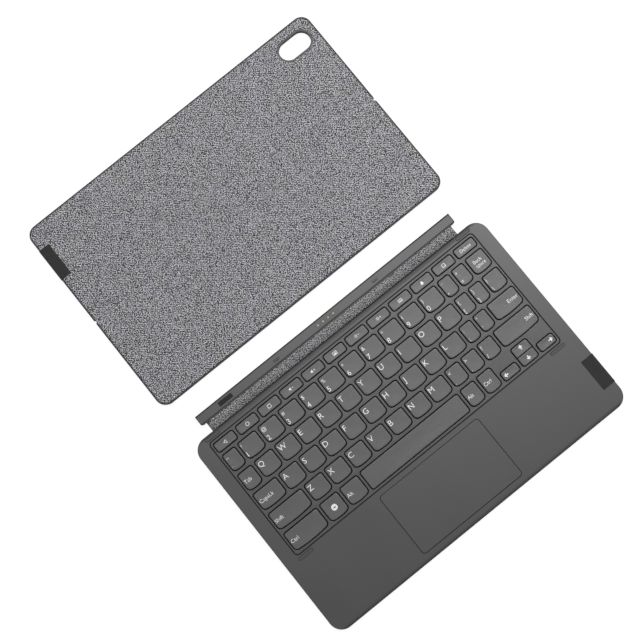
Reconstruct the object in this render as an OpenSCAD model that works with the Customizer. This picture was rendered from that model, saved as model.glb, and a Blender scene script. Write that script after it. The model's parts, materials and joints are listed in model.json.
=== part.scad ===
// Tablet keyboard case in two pieces: a keyboard deck whose dock bar hangs on a fabric strip,
// and a magnetic back cover whose lower half folds out as a kickstand.
// Millimetres. The origin is the centre of the deck's flat underside. +X runs to the typist's
// right, +Y away from the typist towards the dock bar and the cover, and +Z up from the keys.
// The cover is laid straight behind the deck with its fabric up.

/* [Keyboard deck] */
// Width of the deck
deck_w = 261.4; // [252:0.1:290]
// Depth of the deck, without the fabric strip and the bar
deck_d = 165.7; // [164.5:0.1:190]
// Thickness of the deck
deck_t = 5.4; // [5.3:0.1:7]
// Radius of the deck's corners
deck_r = 10; // [6:0.5:16]
// Chamfer along the deck's top and bottom edges
deck_chamfer = 0.6; // [0.2:0.1:0.8]
// Thickness of the bottom shell
bottom_t = 0.9; // [0.9:0.05:1.1]
// Thickness of the top shell's skin
skin_t = 1.3; // [1.1:0.05:1.3]
// Thickness of the top shell's side walls
deck_wall = 1.6; // [1.2:0.1:1.6]
// Length of the slope that leads the deck's back edge down to the fabric
slope_d = 3.4; // [1:0.1:3.4]
// Drop of that slope at the back edge
slope_drop = 1.4; // [0.5:0.1:1.8]

/* [Key field] */
// Distance of the key frame's well from each side of the deck
side_margin = 10.7; // [8:0.1:14]
// Distance of the key frame's well from the deck's back edge
rear_margin = 5.05; // [4.8:0.05:5.8]
// Distance from one key row to the next
row_pitch = 17.35; // [17:0.05:17.6]
// Depth of a letter key's hole
letter_d = 15.3; // [14.6:0.05:15.6]
// Depth of the function keys' holes
function_d = 8.3; // [7.8:0.05:8.4]
// Depth of the bottom row's holes
bottom_row_d = 16.3; // [15.6:0.05:16.4]
// Width of the bar between two key holes of a row
key_web = 1.67; // [1.4:0.01:1.9]
// Width of the hole at the left end of the number row
grave_w = 12.2; // [10:0.1:14]
// Width of the narrow punctuation keys' holes
small_w = 11.1; // [10.5:0.1:12]
// Width of the comma, full stop, slash and right modifier keys' holes
mid_w = 13.1; // [12.5:0.1:14]
// Width of the tab key's hole
tab_w = 13.4; // [12:0.1:15]
// Width of the caps lock key's hole
caps_w = 21.5; // [18:0.1:24]
// Width of the enter key's hole
enter_w = 24.36; // [22:0.01:27]
// Width of the left shift and control keys' holes
shift_w = 30.5; // [27:0.1:32]
// Width of the arrow keys' holes
arrow_w = 14.8; // [13:0.1:16]
// Radius of the upper corners of a key hole
hole_top_r = 2.2; // [1.5:0.1:2.8]
// Radius of the lower corners of a letter key's hole
hole_low_r = 3.4; // [2.4:0.1:3.8]
// Depth of the bow along a letter key's lower edge
key_bow = 0.9; // [0.5:0.1:1.2]
// Gap between a keycap and its hole
key_gap = 0.75; // [0.5:0.05:0.9]
// Gap between the up and down arrow keycaps
arrow_gap = 0.5; // [0.4:0.05:0.8]
// Width of the frame round the key holes at the sides
field_side = 1.7; // [1.5:0.1:2.5]
// Width of the frame in front of and behind the key holes
field_end = 2.1; // [1.8:0.1:2.3]
// Corner radius of the key frame
frame_r = 3; // [2:0.1:4]
// Thickness of the key frame
frame_t = 1; // [0.8:0.05:1]
// Depth of the key frame's face below the deck's face
frame_recess = 0.3; // [0.1:0.05:0.5]
// Groove between the key frame and the deck
frame_gap = 0.45; // [0.2:0.05:0.5]

/* [Key mechanism] */
// Travel of every key
key_travel = 1.2; // [0.8:0.05:1.25]
// Height of the keycaps above the deck's face
cap_proud = 0.35; // [0.1:0.05:0.5]
// Height of a keycap's skirt, face included
cap_h = 1.4; // [1.2:0.05:1.5]
// Thickness of a keycap's face
cap_face_t = 0.8; // [0.6:0.05:0.9]
// Thickness of a keycap's skirt
cap_skirt = 0.7; // [0.5:0.05:0.8]
// Height of the gap under the key backplate
under_plate = 0.8; // [0.7:0.05:0.8]
// Thickness of the steel key backplate
plate_t = 0.35; // [0.25:0.05:0.4]
// Thickness of the key membrane
membrane_t = 0.2; // [0.15:0.05:0.25]
// Height of the folded scissor frames
scissor_t = 0.6; // [0.5:0.05:0.7]
// Radius of the largest rubber domes
dome_r = 2.2; // [1.8:0.1:2.6]

/* [Trackpad] */
// Width of the trackpad
pad_w = 88.8; // [80:0.1:110]
// Distance of the trackpad from the deck's front edge
pad_front = 6.25; // [4:0.05:12]
// Corner radius of the trackpad
pad_r = 2.5; // [1:0.1:5]
// Thickness of the trackpad
pad_t = 1.15; // [1:0.05:1.15]
// Shift of the trackpad's middle to the left of the deck's middle
pad_shift = 5.15; // [0:0.05:10]
// Clear distance between the trackpad and the key frame's rib
pad_back = 2.65; // [2:0.05:3]
// Gap round the trackpad
pad_gap = 0.3; // [0.2:0.05:0.5]
// Travel of the trackpad's front edge
pad_travel = 0.5; // [0.3:0.05:0.6]

/* [Deck details] */
// Length of a rubber bumper
bumper_l = 12; // [8:0.5:16]
// Width of a rubber bumper
bumper_w = 1.8; // [1.4:0.1:2]
// Height of the bumpers above the deck's face
bumper_proud = 0.55; // [0.4:0.05:0.8]
// Length of the woven tag on the deck's right edge
deck_tag_l = 25; // [18:0.5:32]
// Distance of the tag's middle from the deck's front edge
deck_tag_front = 28.2; // [24:0.1:80]
// Reach of the deck's tag over its face
deck_tag_w = 10; // [8:0.1:10.4]
// Thickness of the woven tags
tag_t = 0.3; // [0.2:0.05:0.4]
// Diameter of the backplate's screws
screw_d = 1.2; // [1:0.1:1.4]

/* [Dock hinge and bar] */
// Width of the fabric strip
strip_w = 224.6; // [200:0.1:228]
// Depth of the fabric strip between the deck and the bar
strip_d = 7.5; // [6:0.1:12]
// Thickness of the fabric strip
strip_t = 0.9; // [0.6:0.05:1]
// Width of the dock bar
bar_w = 231.5; // [230:0.1:250]
// Depth of the dock bar
bar_d = 8.1; // [7.8:0.1:9.5]
// Height of the dock bar
bar_h = 4.8; // [4.6:0.1:6]
// Thickness of the bar's walls
bar_wall = 0.9; // [0.7:0.05:1]
// Radius of the bar's corners next to the fabric
bar_r = 1.5; // [0.8:0.1:2]
// Number of sprung contact pins
pin_count = 4; // [2:1:6]
// Distance from one contact pin to the next
pin_pitch = 4.6; // [3:0.1:5]
// Diameter of a contact pin
pin_d = 1.3; // [0.9:0.1:1.5]
// Height of the contact pins above the bar
pin_proud = 0.6; // [0.4:0.05:0.7]
// Distance between the middles of the two locating lugs
lug_span = 90; // [60:1:140]
// Length of a locating lug
lug_l = 4.6; // [3.5:0.1:6]
// Width of a locating lug
lug_w = 1.6; // [1.2:0.1:2]
// Height of the locating lugs above the bar
lug_h = 1.2; // [0.8:0.1:1.5]

/* [Back cover] */
// Width of the cover
cover_w = 258.4; // [250:0.1:275]
// Height of the cover, both halves together
cover_d = 163; // [158:0.1:175]
// Thickness of the cover
cover_t = 3.8; // [3.8:0.05:4.6]
// Radius of the cover's corners
cover_r = 8; // [4:0.5:12]
// Width of the rim round the fabric
rim_w = 1; // [0.8:0.1:1.5]
// Thickness of the cover's outer fabric
fabric_t = 0.8; // [0.6:0.05:0.8]
// Thickness of the cover's lining
lining_t = 0.5; // [0.3:0.05:0.5]
// Depth of the rim's edge below the fabric's face
rim_drop = 0.6; // [0.6:0.05:0.7]
// Distance of the fold from the middle of the cover, towards the deck
fold_shift = 1.8; // [0:0.1:6]
// Depth of the notch where the fold meets the rim
notch_d = 1; // [0.6:0.1:1.5]
// Width of the corner that each half loses at the notch
notch_w = 0.8; // [0.4:0.1:1.2]
// Distance between the dock bar and the cover, as they are laid out
lay_gap = 18.5; // [5:0.25:40]
// Sideways shift of the cover, as it is laid out
lay_shift = -0.8; // [-5:0.1:5]
// Length of the woven tag on the cover's left edge
cover_tag_l = 27; // [18:0.5:36]
// Reach of the cover's tag over the fabric
cover_tag_w = 8.8; // [6:0.1:12]
// Distance of the cover's tag from the middle of the cover
cover_tag_y = 50.85; // [30:0.05:55]

/* [Camera window] */
// Width of the clear window
window_w = 26; // [18:0.1:30]
// Height of the clear window
window_h = 14.6; // [10:0.1:16]
// Width of the moulded ring round the window
ring_w = 1.5; // [0.7:0.1:2]
// Distance of the window's middle from the cover's right edge
window_side = 20.25; // [18.5:0.05:26]
// Distance of the window's middle from the cover's far edge
window_top = 15.65; // [12:0.05:20]

/* [Kickstand hinges] */
// Distance of a hinge's middle from the cover's short edge
hinge_inset = 16; // [14:0.5:40]
// Width of a hinge's leaf
leaf_w = 16; // [14:0.5:18]
// Length of a hinge's leaf, from its pin
leaf_l = 14; // [8:0.5:20]
// Thickness of a hinge's leaf
leaf_t = 0.8; // [0.6:0.05:0.9]
// Width of each of a hinge's links
link_w = 3.4; // [2.5:0.1:4]
// Diameter of a hinge pin
hinge_pin_d = 1.2; // [0.8:0.05:1.3]
// Wall round a hinge pin
knuckle_wall = 0.45; // [0.35:0.05:0.45]
// Opening angle of the kickstand, in degrees
stand_angle = 165; // [120:1:165]

/* [Hidden] */
$fn = 48;
BOW_PARTS = 6;        // straight parts of a key's bowed edge, and of each corner beside it
CORNER_PARTS = 5;

// Small values that the pieces share
cut = 1;              // overrun of a cut past the face that it opens
touch = 0.05;         // clearance of a sliding or seated piece
slack = 0.15;         // clearance of a loose piece

// Colours
SHELL = [0.36, 0.36, 0.37];
CAP = [0.42, 0.42, 0.43];
DARK = [0.12, 0.12, 0.12];
FABRIC = [0.53, 0.53, 0.55];
LINING = [0.3, 0.3, 0.31];
TAG = [0.19, 0.18, 0.18];
STEEL = [0.7, 0.71, 0.72];
GOLD = [0.85, 0.68, 0.35];
BOARD = [0.1, 0.35, 0.2];
AMBER = [0.75, 0.45, 0.15];

// Heights of the deck's layers
plate_z = bottom_t + under_plate;
plate_top = plate_z + plate_t;
membrane_top = plate_top + membrane_t;
frame_top = deck_t - frame_recess;
frame_low = frame_top - frame_t;
skin_low = deck_t - skin_t;
cap_top = deck_t + cap_proud;
cap_low = cap_top - cap_h;
clip_low = membrane_top + key_travel + 2 * touch;
dome_h = cap_top - cap_face_t - key_travel - slack - membrane_top;

// Plan of the key field. A row is a list of hole widths, and its last key fills the span. The
// letter keys share what the other keys of their row leave.
deck_back = deck_d / 2;
key_span = deck_w - 2 * (side_margin + field_side);
letter_w = (key_span - caps_w - 2 * small_w - enter_w - 12 * key_web) / 9;
function sum(v, n) = n <= 0 ? 0 : v[n - 1] + sum(v, n - 1);
function fill(v) = concat(v, [key_span - sum(v, len(v)) - len(v) * key_web]);
function letters(n) = [for (i = [1:n]) letter_w];
function_w = (key_span - 11 * key_web) / 12;
space_w = 5 * letter_w + 4 * key_web;
function_row = [for (i = [1:12]) function_w];
number_row = fill(concat([grave_w], letters(10), [small_w, small_w]));
q_row = fill(concat([tab_w], letters(10), [small_w, small_w]));
a_row = fill(concat([caps_w], letters(9), [small_w, small_w]));
z_row = fill(concat([shift_w], letters(7), [mid_w, mid_w, mid_w]));
bottom_row = fill([shift_w, letter_w, letter_w, space_w, mid_w, mid_w, arrow_w, arrow_w]);

// A key is [middle x, lower edge y, width, depth, kind] of its hole
ROUND = 0;
BOWED = 1;
UPPER = 2;
LOWER = 3;
SPACE = 3;            // the space bar's place in the bottom row
row_web = row_pitch - letter_d;
well_back = deck_back - rear_margin;
function_y = well_back - field_end - function_d;
number_row_y = function_y - row_web;    // upper edge of the number row's holes
number_y = number_row_y - letter_d;
bottom_y = number_row_y - 4 * row_pitch - bottom_row_d;
arrow_d = bottom_row_d / 2;
function key(v, i, y, d, kind) =
    [sum(v, i) + i * key_web + v[i] / 2 - key_span / 2, y, v[i], d, kind];
function keys(v, first, last, y, d, kind) = [for (i = [first:last]) key(v, i, y, d, kind)];
function letter_keys(v, row, first, last) =
    keys(v, first, last, number_y - row * row_pitch, letter_d, BOWED);
function bottom_key(i) = key(bottom_row, i, bottom_y, bottom_row_d, i == SPACE ? ROUND : BOWED);
function function_keys(first, last) =
    keys(function_row, first, last, function_y, function_d, ROUND);

FUNCTION_KEYS = function_keys(0, 10);
DELETE_KEY = function_keys(11, 11);
NUMBER_KEYS = letter_keys(number_row, 0, 0, 12);
BACKSPACE_KEY = letter_keys(number_row, 0, 13, 13);
TAB_KEY = letter_keys(q_row, 1, 0, 0);
Q_KEYS = letter_keys(q_row, 1, 1, 13);
CAPS_KEY = letter_keys(a_row, 2, 0, 0);
A_KEYS = letter_keys(a_row, 2, 1, 11);
ENTER_KEY = letter_keys(a_row, 2, 12, 12);
LEFT_SHIFT_KEY = letter_keys(z_row, 3, 0, 0);
Z_KEYS = letter_keys(z_row, 3, 1, 10);
RIGHT_SHIFT_KEY = letter_keys(z_row, 3, 11, 11);
ARROW_LEFT_KEY = [key(bottom_row, 6, bottom_y, arrow_d, ROUND)];
ARROW_RIGHT_KEY = [key(bottom_row, 8, bottom_y, arrow_d, ROUND)];
ARROW_DOWN_KEY = [key(bottom_row, 7, bottom_y, arrow_d, LOWER)];
ARROW_UP_KEY = [key(bottom_row, 7, bottom_y + arrow_d, arrow_d, UPPER)];
LONE_KEYS = concat(FUNCTION_KEYS, DELETE_KEY, NUMBER_KEYS, BACKSPACE_KEY, TAB_KEY, Q_KEYS,
    CAPS_KEY, A_KEYS, ENTER_KEY, LEFT_SHIFT_KEY, Z_KEYS, RIGHT_SHIFT_KEY,
    [for (i = [0:5]) bottom_key(i)], ARROW_LEFT_KEY, ARROW_RIGHT_KEY);
ALL_KEYS = concat(LONE_KEYS, ARROW_DOWN_KEY, ARROW_UP_KEY);
// The up and down arrow keys share one hole
HOLES = concat(LONE_KEYS, [key(bottom_row, 7, bottom_y, bottom_row_d, ROUND)]);

// The well that holds the key frame
well_w = key_span + 2 * field_side;
well_front = bottom_y - field_end;
well_d = well_back - well_front;
well_y = (well_back + well_front) / 2;
ledge_w = 1.2;        // reach of the rib under the key frame
rib_w = 1.5;          // width of the rib outside the well

// Scissor frames, clips, domes and the bars that mark the F and J keys
scissor_side = 0.8;   // width of a scissor frame's sides
scissor_margin = [4.4, 2];      // what a scissor frame is narrower and shallower than its cap
scissor_max = [9.6, 8.4];       // largest width and depth of a scissor frame
clip_size = [0.7, 1.2];         // width and depth of a keycap's clip
dome_taper = 0.6;     // radius of a dome's top, as a share of its base
homing_size = [3.6, 0.5];       // width and depth of a homing bar
homing_h = 0.12;      // height of a homing bar above its cap
homing_edge = 2;      // distance of a homing bar from its hole's lower edge
F_KEY = 3;            // places of F and J among the letter keys of their row
J_KEY = 6;

// Trackpad
pad_top = deck_t - frame_recess / 2;
pad_low = pad_top - pad_t;
pad_edge = well_front - rib_w - pad_back;
pad_d = pad_edge + deck_back - pad_front;
pad_y = pad_edge - pad_d / 2;
spring_t = 0.25;      // thickness of the trackpad's leaf spring
spring_w = 60;        // width of the leaf spring
spring_reach = 4;     // reach of the leaf spring under the trackpad
pad_axis_y = pad_edge - spring_reach;

// Board under the trackpad, its cable, and the switch that the trackpad presses
cable_w = 10;
cable_t = 0.15;
board_w = 62;
board_d = 20;
board_t = 0.6;
board_z = bottom_t + 0.7;       // the board stands on its standoffs
board_y = pad_edge - pad_d + board_d / 2 + 2;
standoff_r = 1.5;
standoff_inset = 3;   // distance of a standoff from the board's edges
chip_h = 0.9;
chips = [[-18, 2, 9], [17, 1, 6]];      // place and width of each chip on the board
socket = [cable_w + 2, 3];      // width and depth of the cable's socket
switch_w = 4;
switch_body = 0.7;    // height of the switch's body, as a share of the whole
switch_y = board_y - board_d / 2 + switch_w;
switch_drop = pad_travel * (pad_axis_y - switch_y) / (pad_d - spring_reach);
switch_top = pad_low - switch_drop - 2 * touch;

// Screws that hold the backplate to the rib: five along each long side
screw_head_t = 0.35;
screw_l = 1.6;        // length of the screw's thread in the rib
screw_y = well_d / 2 + (rib_w - ledge_w) / 2;
screw_side = 12;      // distance of the end screws from the well's sides
screw_step = (well_w / 2 - screw_side) / 2;

// Bumpers and magnets
bumper_sink = 0.5;
bumper_x = (well_w - bumper_l) / 2;     // its outer end is in line with the well's side
bumper_ys = [well_front - 2.5, well_back + 2.3];        // in front of and behind the keys
slope_w = 2 * (bumper_x - bumper_l / 2 - 1);    // the slope ends beside the rear bumpers
deck_magnet = [18, 5, 2];
deck_magnet_x = deck_w / 2 - 20;
deck_magnet_y = 12 - deck_back;
deck_tag_y = deck_tag_front - deck_back;

// Fabric hinge and dock bar. The strip bends along one line at each end.
strip_gap = 0.35;
strip_low = 0.15;
bend_inset = strip_gap + 0.3;
bar_front = deck_back + strip_d;
bar_back = bar_front + bar_d;
bar_y = (bar_front + bar_back) / 2;
bar_floor = 1;
bar_roof = 1;
bar_magnet = [30, 3, 1.6];
bar_magnet_xs = [-88, 88];
block_w = (pin_count - 1) * pin_pitch + 3.6;    // width and depth of the pins' holder
block_d = 3.4;
pin_tip = 0.7;        // diameter of a pin's tip, as a share of its own
pin_travel = pin_proud - touch;
lug_flange = 1.2;     // reach and thickness of the flange that holds a lug inside the bar
lug_flange_t = 1;

// Cover and its fold
cover_front = bar_back + lay_gap;
cover_y = cover_front + cover_d / 2;
cover_back = cover_front + cover_d;
fold_y = cover_y - fold_shift;
core_top = cover_t - fabric_t;
rim_top = cover_t - rim_drop;
pivot_z = cover_t / 2;
pivot_gap = cover_t / 2 + slack;        // distance of each hinge pin from the fold
half_end = 0.55;                        // distance of each stiff half from the fold
fabric_end = pivot_gap + 0.7;           // distance of each half's fabric from the fold
window_x = lay_shift + cover_w / 2 - window_side;
window_y = cover_back - window_top;
cover_magnet_r = 4;
cover_magnet_t = 1.2;
cover_magnet_side = 33.2;     // distance of the first magnets from the cover's side
cover_magnet_xs = [cover_magnet_side - cover_w / 2, -60, 24, 60];       // from its middle
cover_magnet_ys = [fold_y + 14, cover_back - 12];
knuckle_r = hinge_pin_d / 2 + knuckle_wall;
hinge_xs = [for (s = [-1, 1]) lay_shift + s * (cover_w / 2 - hinge_inset)];
knuckle_w = leaf_w - 2 * link_w - 4 * touch;
peg_r = 0.8;          // pegs that a board holds its leaves with
peg_inset = 3;        // distance of a peg from its leaf's end
neck_l = 0.5;         // overlap of a leaf and the neck that joins it to its knuckle

// A flat-bottomed outline on the x axis, with rounded upper and lower corners
module rounded(w, d, top_r, low_r) {
    for (s = [-1, 1]) {
        if (top_r > 0) translate([s * (w / 2 - top_r), d - top_r]) circle(r = top_r);
        if (low_r > 0) translate([s * (w / 2 - low_r), low_r]) circle(r = low_r);
    }
    translate([-w / 2, low_r]) square([w, d - top_r - low_r]);
    translate([-w / 2 + top_r, d / 2]) square([w - 2 * top_r, d / 2]);
    translate([-w / 2 + low_r, 0]) square([w - 2 * low_r, d / 2]);
}

// Points along an arc from one angle to another, both ends included
function arc(x, y, r, from, to, parts) = [for (i = [0:parts])
    let (a = from + (to - from) * i / parts) [x + r * cos(a), y + r * sin(a)]];

// The same outline with a lower edge that bows down between its corners
function bowed(w, d, top_r, low_r, bow) =
    let (bow_r = (w * w / 4 + bow * bow) / (2 * bow), x = w / 2 - low_r,
        lean = asin(x / (bow_r - low_r)), y = bow_r - (bow_r - low_r) * cos(lean),
        low = arc(0, bow_r, bow_r, 270 - lean, 270 + lean, BOW_PARTS))
    concat(arc(x, y, low_r, lean - 90, 0, CORNER_PARTS),
        arc(w / 2 - top_r, d - top_r, top_r, 0, 90, CORNER_PARTS),
        arc(top_r - w / 2, d - top_r, top_r, 90, 180, CORNER_PARTS),
        arc(-x, y, low_r, 180, 270 - lean, CORNER_PARTS),
        [for (i = [1:BOW_PARTS - 1]) low[i]]);

// The outline of a key's hole, drawn in by an inset
module key_outline(k, inset) {
    w = k[2] - 2 * inset;
    top_r = hole_top_r - inset;
    low_r = hole_low_r - inset;
    join = inset - key_gap + arrow_gap / 2;
    low = k[4] == UPPER ? join : inset;
    high = k[4] == LOWER ? join : inset;
    translate([k[0], k[1] + low]) {
        if (k[4] == BOWED) polygon(bowed(w, k[3] - low - high, top_r, low_r, key_bow));
        if (k[4] == ROUND) rounded(w, k[3] - low - high, top_r, top_r);
        if (k[4] == UPPER) rounded(w, k[3] - low - high, top_r, 0);
        if (k[4] == LOWER) rounded(w, k[3] - low - high, 0, top_r);
    }
}

// A rectangle with rounded corners about the origin
module plan(w, d, r) {
    translate([0, -d / 2]) rounded(w, d, r, r);
}

// A rounded plate that narrows by c on every side from its base to its top
module narrowing(w, d, r, c, h) {
    for (sx = [-1, 1]) for (sy = [-1, 1])
        translate([sx * (w / 2 - r), sy * (d / 2 - r), 0]) cylinder(r1 = r, r2 = r - c, h = h);
    rotate([90, 0, 90]) translate([0, 0, r - w / 2]) linear_extrude(w - 2 * r)
        polygon([[-d / 2, 0], [d / 2, 0], [d / 2 - c, h], [c - d / 2, h]]);
    rotate([90, 0, 0]) translate([0, 0, r - d / 2]) linear_extrude(d - 2 * r)
        polygon([[-w / 2, 0], [w / 2, 0], [w / 2 - c, h], [c - w / 2, h]]);
}

// A box by its lowest corner and its size along x, y and z, with x and y about a middle
module block(x, y, z, size) {
    translate([x - size[0] / 2, y - size[1] / 2, z]) cube(size);
}

// Size of the scissor frame under one key
function scissor_w(k) = min(k[2] - 2 * key_gap - scissor_margin[0], scissor_max[0]);
function scissor_d(k) = min(k[3] - 2 * key_gap - scissor_margin[1], scissor_max[1]);
function key_mid(k) = k[1] + k[3] / 2;

// One keycap: its face, skirt and the four clips that ride beside its scissor frame
module keycap(k) {
    clip_x = scissor_w(k) / 2 + slack + clip_size[0] / 2;
    clip_y = scissor_d(k) / 2 - scissor_side;
    difference() {
        translate([0, 0, cap_low]) linear_extrude(cap_h) key_outline(k, key_gap);
        translate([0, 0, cap_low - cut]) linear_extrude(cap_h - cap_face_t + cut)
            key_outline(k, key_gap + cap_skirt);
    }
    for (sx = [-1, 1]) for (sy = [-1, 1])
        block(k[0] + sx * clip_x, key_mid(k) + sy * clip_y, clip_low,
            [clip_size[0], clip_size[1], cap_top - cap_face_t / 2 - clip_low]);
}

module keycaps(list) {
    color(CAP) for (k = list) keycap(k);
}

module deck_top_shell() {
    color(SHELL) difference() {
        union() {
            difference() {
                union() {
                    translate([0, 0, bottom_t]) linear_extrude(deck_t - deck_chamfer - bottom_t)
                        plan(deck_w, deck_d, deck_r);
                    translate([0, 0, deck_t - deck_chamfer])
                        narrowing(deck_w, deck_d, deck_r, deck_chamfer, deck_chamfer);
                }
                translate([0, 0, bottom_t - cut]) linear_extrude(skin_low - bottom_t + cut)
                    plan(deck_w - 2 * deck_wall, deck_d - 2 * deck_wall, deck_r - deck_wall);
                translate([0, well_y, bottom_t]) linear_extrude(deck_t)
                    plan(well_w, well_d, frame_r);
            }
            translate([0, well_y, plate_top]) linear_extrude(frame_low - plate_top)
                difference() {
                    plan(well_w + 2 * rib_w, well_d + 2 * rib_w, frame_r + rib_w);
                    plan(well_w - 2 * ledge_w, well_d - 2 * ledge_w, frame_r - ledge_w);
                }
        }
        translate([-pad_shift, pad_y, skin_low - cut]) linear_extrude(deck_t)
            plan(pad_w + 2 * pad_gap, pad_d + 2 * pad_gap, pad_r + pad_gap);
        slope();
        for (s = [-1, 1]) for (y = bumper_ys)
            translate([s * bumper_x, y, deck_t - bumper_sink]) linear_extrude(cut)
                bumper_outline(bumper_w + 2 * touch);
        for (p = screw_places()) translate([p[0], p[1], plate_top - cut])
            cylinder(d = screw_d + 2 * touch, h = screw_l + cut + touch);
        block(0, deck_back - deck_wall / 2, bottom_t - cut,
            [cable_w + 4 * slack, deck_wall + 2 * cut, cut + cable_t + 2 * touch]);
    }
}

// The slope that leads the deck's back edge down to the fabric
module slope() {
    rotate([90, 0, 90]) translate([0, 0, -slope_w / 2]) linear_extrude(slope_w)
        polygon([[deck_back - slope_d, deck_t], [deck_back + cut, deck_t],
            [deck_back + cut, deck_t + cut], [deck_back - slope_d, deck_t + cut]]);
    rotate([90, 0, 90]) translate([0, 0, -slope_w / 2]) linear_extrude(slope_w)
        polygon([[deck_back - slope_d, deck_t], [deck_back, deck_t - slope_drop],
            [deck_back + cut, deck_t - slope_drop], [deck_back + cut, deck_t]]);
}

module bumper_outline(w) {
    square([bumper_l - w, w], center = true);
    for (s = [-1, 1]) translate([s * (bumper_l - w) / 2, 0]) circle(d = w);
}

function screw_places() =
    [for (i = [-2:2]) for (s = [-1, 1]) [i * screw_step, well_y + s * screw_y]];

module key_frame() {
    color(SHELL) translate([0, 0, frame_low]) linear_extrude(frame_t) difference() {
        translate([0, well_y]) plan(well_w - 2 * frame_gap, well_d - 2 * frame_gap,
            frame_r - frame_gap);
        for (k = HOLES) key_outline(k, 0);
    }
}

module deck_bottom_shell() {
    color(SHELL) {
        mirror([0, 0, 1]) translate([0, 0, -deck_chamfer])
            narrowing(deck_w, deck_d, deck_r, deck_chamfer, deck_chamfer);
        translate([0, 0, deck_chamfer]) linear_extrude(bottom_t - deck_chamfer)
            plan(deck_w, deck_d, deck_r);
        linear_extrude(bottom_t) plan(deck_w - 2 * deck_chamfer, deck_d - 2 * deck_chamfer,
            deck_r - deck_chamfer);
        for (sx = [-1, 1]) for (sy = [-1, 1])
            translate([-pad_shift + sx * (board_w / 2 - standoff_inset),
                board_y + sy * (board_d / 2 - standoff_inset), bottom_t / 2])
                cylinder(r = standoff_r, h = board_z - bottom_t / 2);
    }
}

module key_backplate() {
    color(STEEL) difference() {
        translate([0, well_y, plate_z]) linear_extrude(plate_t)
            plan(well_w + 2 * rib_w, well_d + 2 * rib_w, frame_r + rib_w);
        for (p = screw_places()) translate([p[0], p[1], plate_z - cut])
            cylinder(d = screw_d + 2 * touch, h = plate_t + 2 * cut);
    }
}

module key_membrane() {
    color(BOARD) translate([0, well_y, plate_top]) linear_extrude(membrane_t)
        plan(well_w - 2 * ledge_w - 2 * slack, well_d - 2 * ledge_w - 2 * slack,
            frame_r - ledge_w);
}

module rubber_domes() {
    color(DARK) for (k = ALL_KEYS) {
        r = min(dome_r, min(scissor_w(k), scissor_d(k)) / 2 - scissor_side - touch);
        translate([k[0], key_mid(k), membrane_top])
            cylinder(r1 = r, r2 = r * dome_taper, h = dome_h);
    }
}

module scissor_frames() {
    color(DARK) for (k = ALL_KEYS) {
        w = scissor_w(k);
        d = scissor_d(k);
        translate([k[0], key_mid(k), membrane_top]) linear_extrude(scissor_t) difference() {
            square([w, d], center = true);
            square([w - 2 * scissor_side, d - 2 * scissor_side], center = true);
        }
    }
}

module plate_screws() {
    color(STEEL) for (p = screw_places()) translate([p[0], p[1], plate_z - screw_head_t]) {
        cylinder(d = 2 * screw_d, h = screw_head_t);
        cylinder(d = screw_d, h = screw_head_t + plate_t + screw_l);
    }
}

module trackpad() {
    color(SHELL) translate([-pad_shift, pad_y, pad_low]) linear_extrude(pad_t)
        plan(pad_w, pad_d, pad_r);
}

module trackpad_spring() {
    color(STEEL) block(-pad_shift, (pad_axis_y + pad_edge + pad_back - slack) / 2,
        min(pad_low, skin_low) - spring_t,
        [spring_w, spring_reach + pad_back - slack, spring_t]);
}

module click_switch() {
    color(STEEL) block(-pad_shift, switch_y, board_z + board_t,
        [switch_w, switch_w, (switch_top - board_z - board_t) * switch_body]);
    color(DARK) translate([-pad_shift, switch_y, board_z + board_t])
        cylinder(d = switch_w / 2, h = switch_top - board_z - board_t);
}

module main_board() {
    color(BOARD) block(-pad_shift, board_y, board_z, [board_w, board_d, board_t]);
    color(DARK) {
        for (c = chips) block(c[0] - pad_shift, board_y + c[1], board_z,
            [c[2], c[2], board_t + chip_h]);
        block(0, board_y + (board_d - socket[1]) / 2, bottom_t + cable_t,
            [socket[0], socket[1], board_z - bottom_t]);
    }
}

module flex_cable() {
    start = board_y + board_d / 2 - socket[1];
    color(AMBER) translate([-cable_w / 2, start, bottom_t])
        cube([cable_w, deck_back - touch - start, cable_t]);
}

module deck_magnets() {
    color(STEEL) for (s = [-1, 1])
        block(s * deck_magnet_x, deck_magnet_y, bottom_t, deck_magnet);
}

module rubber_bumpers() {
    color(DARK) for (s = [-1, 1]) for (y = bumper_ys)
        translate([s * bumper_x, y, deck_t - bumper_sink])
            linear_extrude(bumper_sink + bumper_proud) bumper_outline(bumper_w);
}

// A strip of woven ribbon glued over an edge: it lies on the face and turns down the side
module deck_tag() {
    side = deck_w / 2;
    turn = tag_t * tan(22.5);
    color(TAG) translate([0, deck_tag_y, 0]) rotate([90, 0, 0])
        translate([0, 0, -deck_tag_l / 2]) linear_extrude(deck_tag_l)
            polygon([[side - deck_tag_w, deck_t], [side - deck_chamfer, deck_t],
                [side, deck_t - deck_chamfer], [side, bottom_t],
                [side + tag_t, bottom_t], [side + tag_t, deck_t - deck_chamfer + turn],
                [side - deck_chamfer + turn, deck_t + tag_t],
                [side - deck_tag_w, deck_t + tag_t]]);
}

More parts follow.
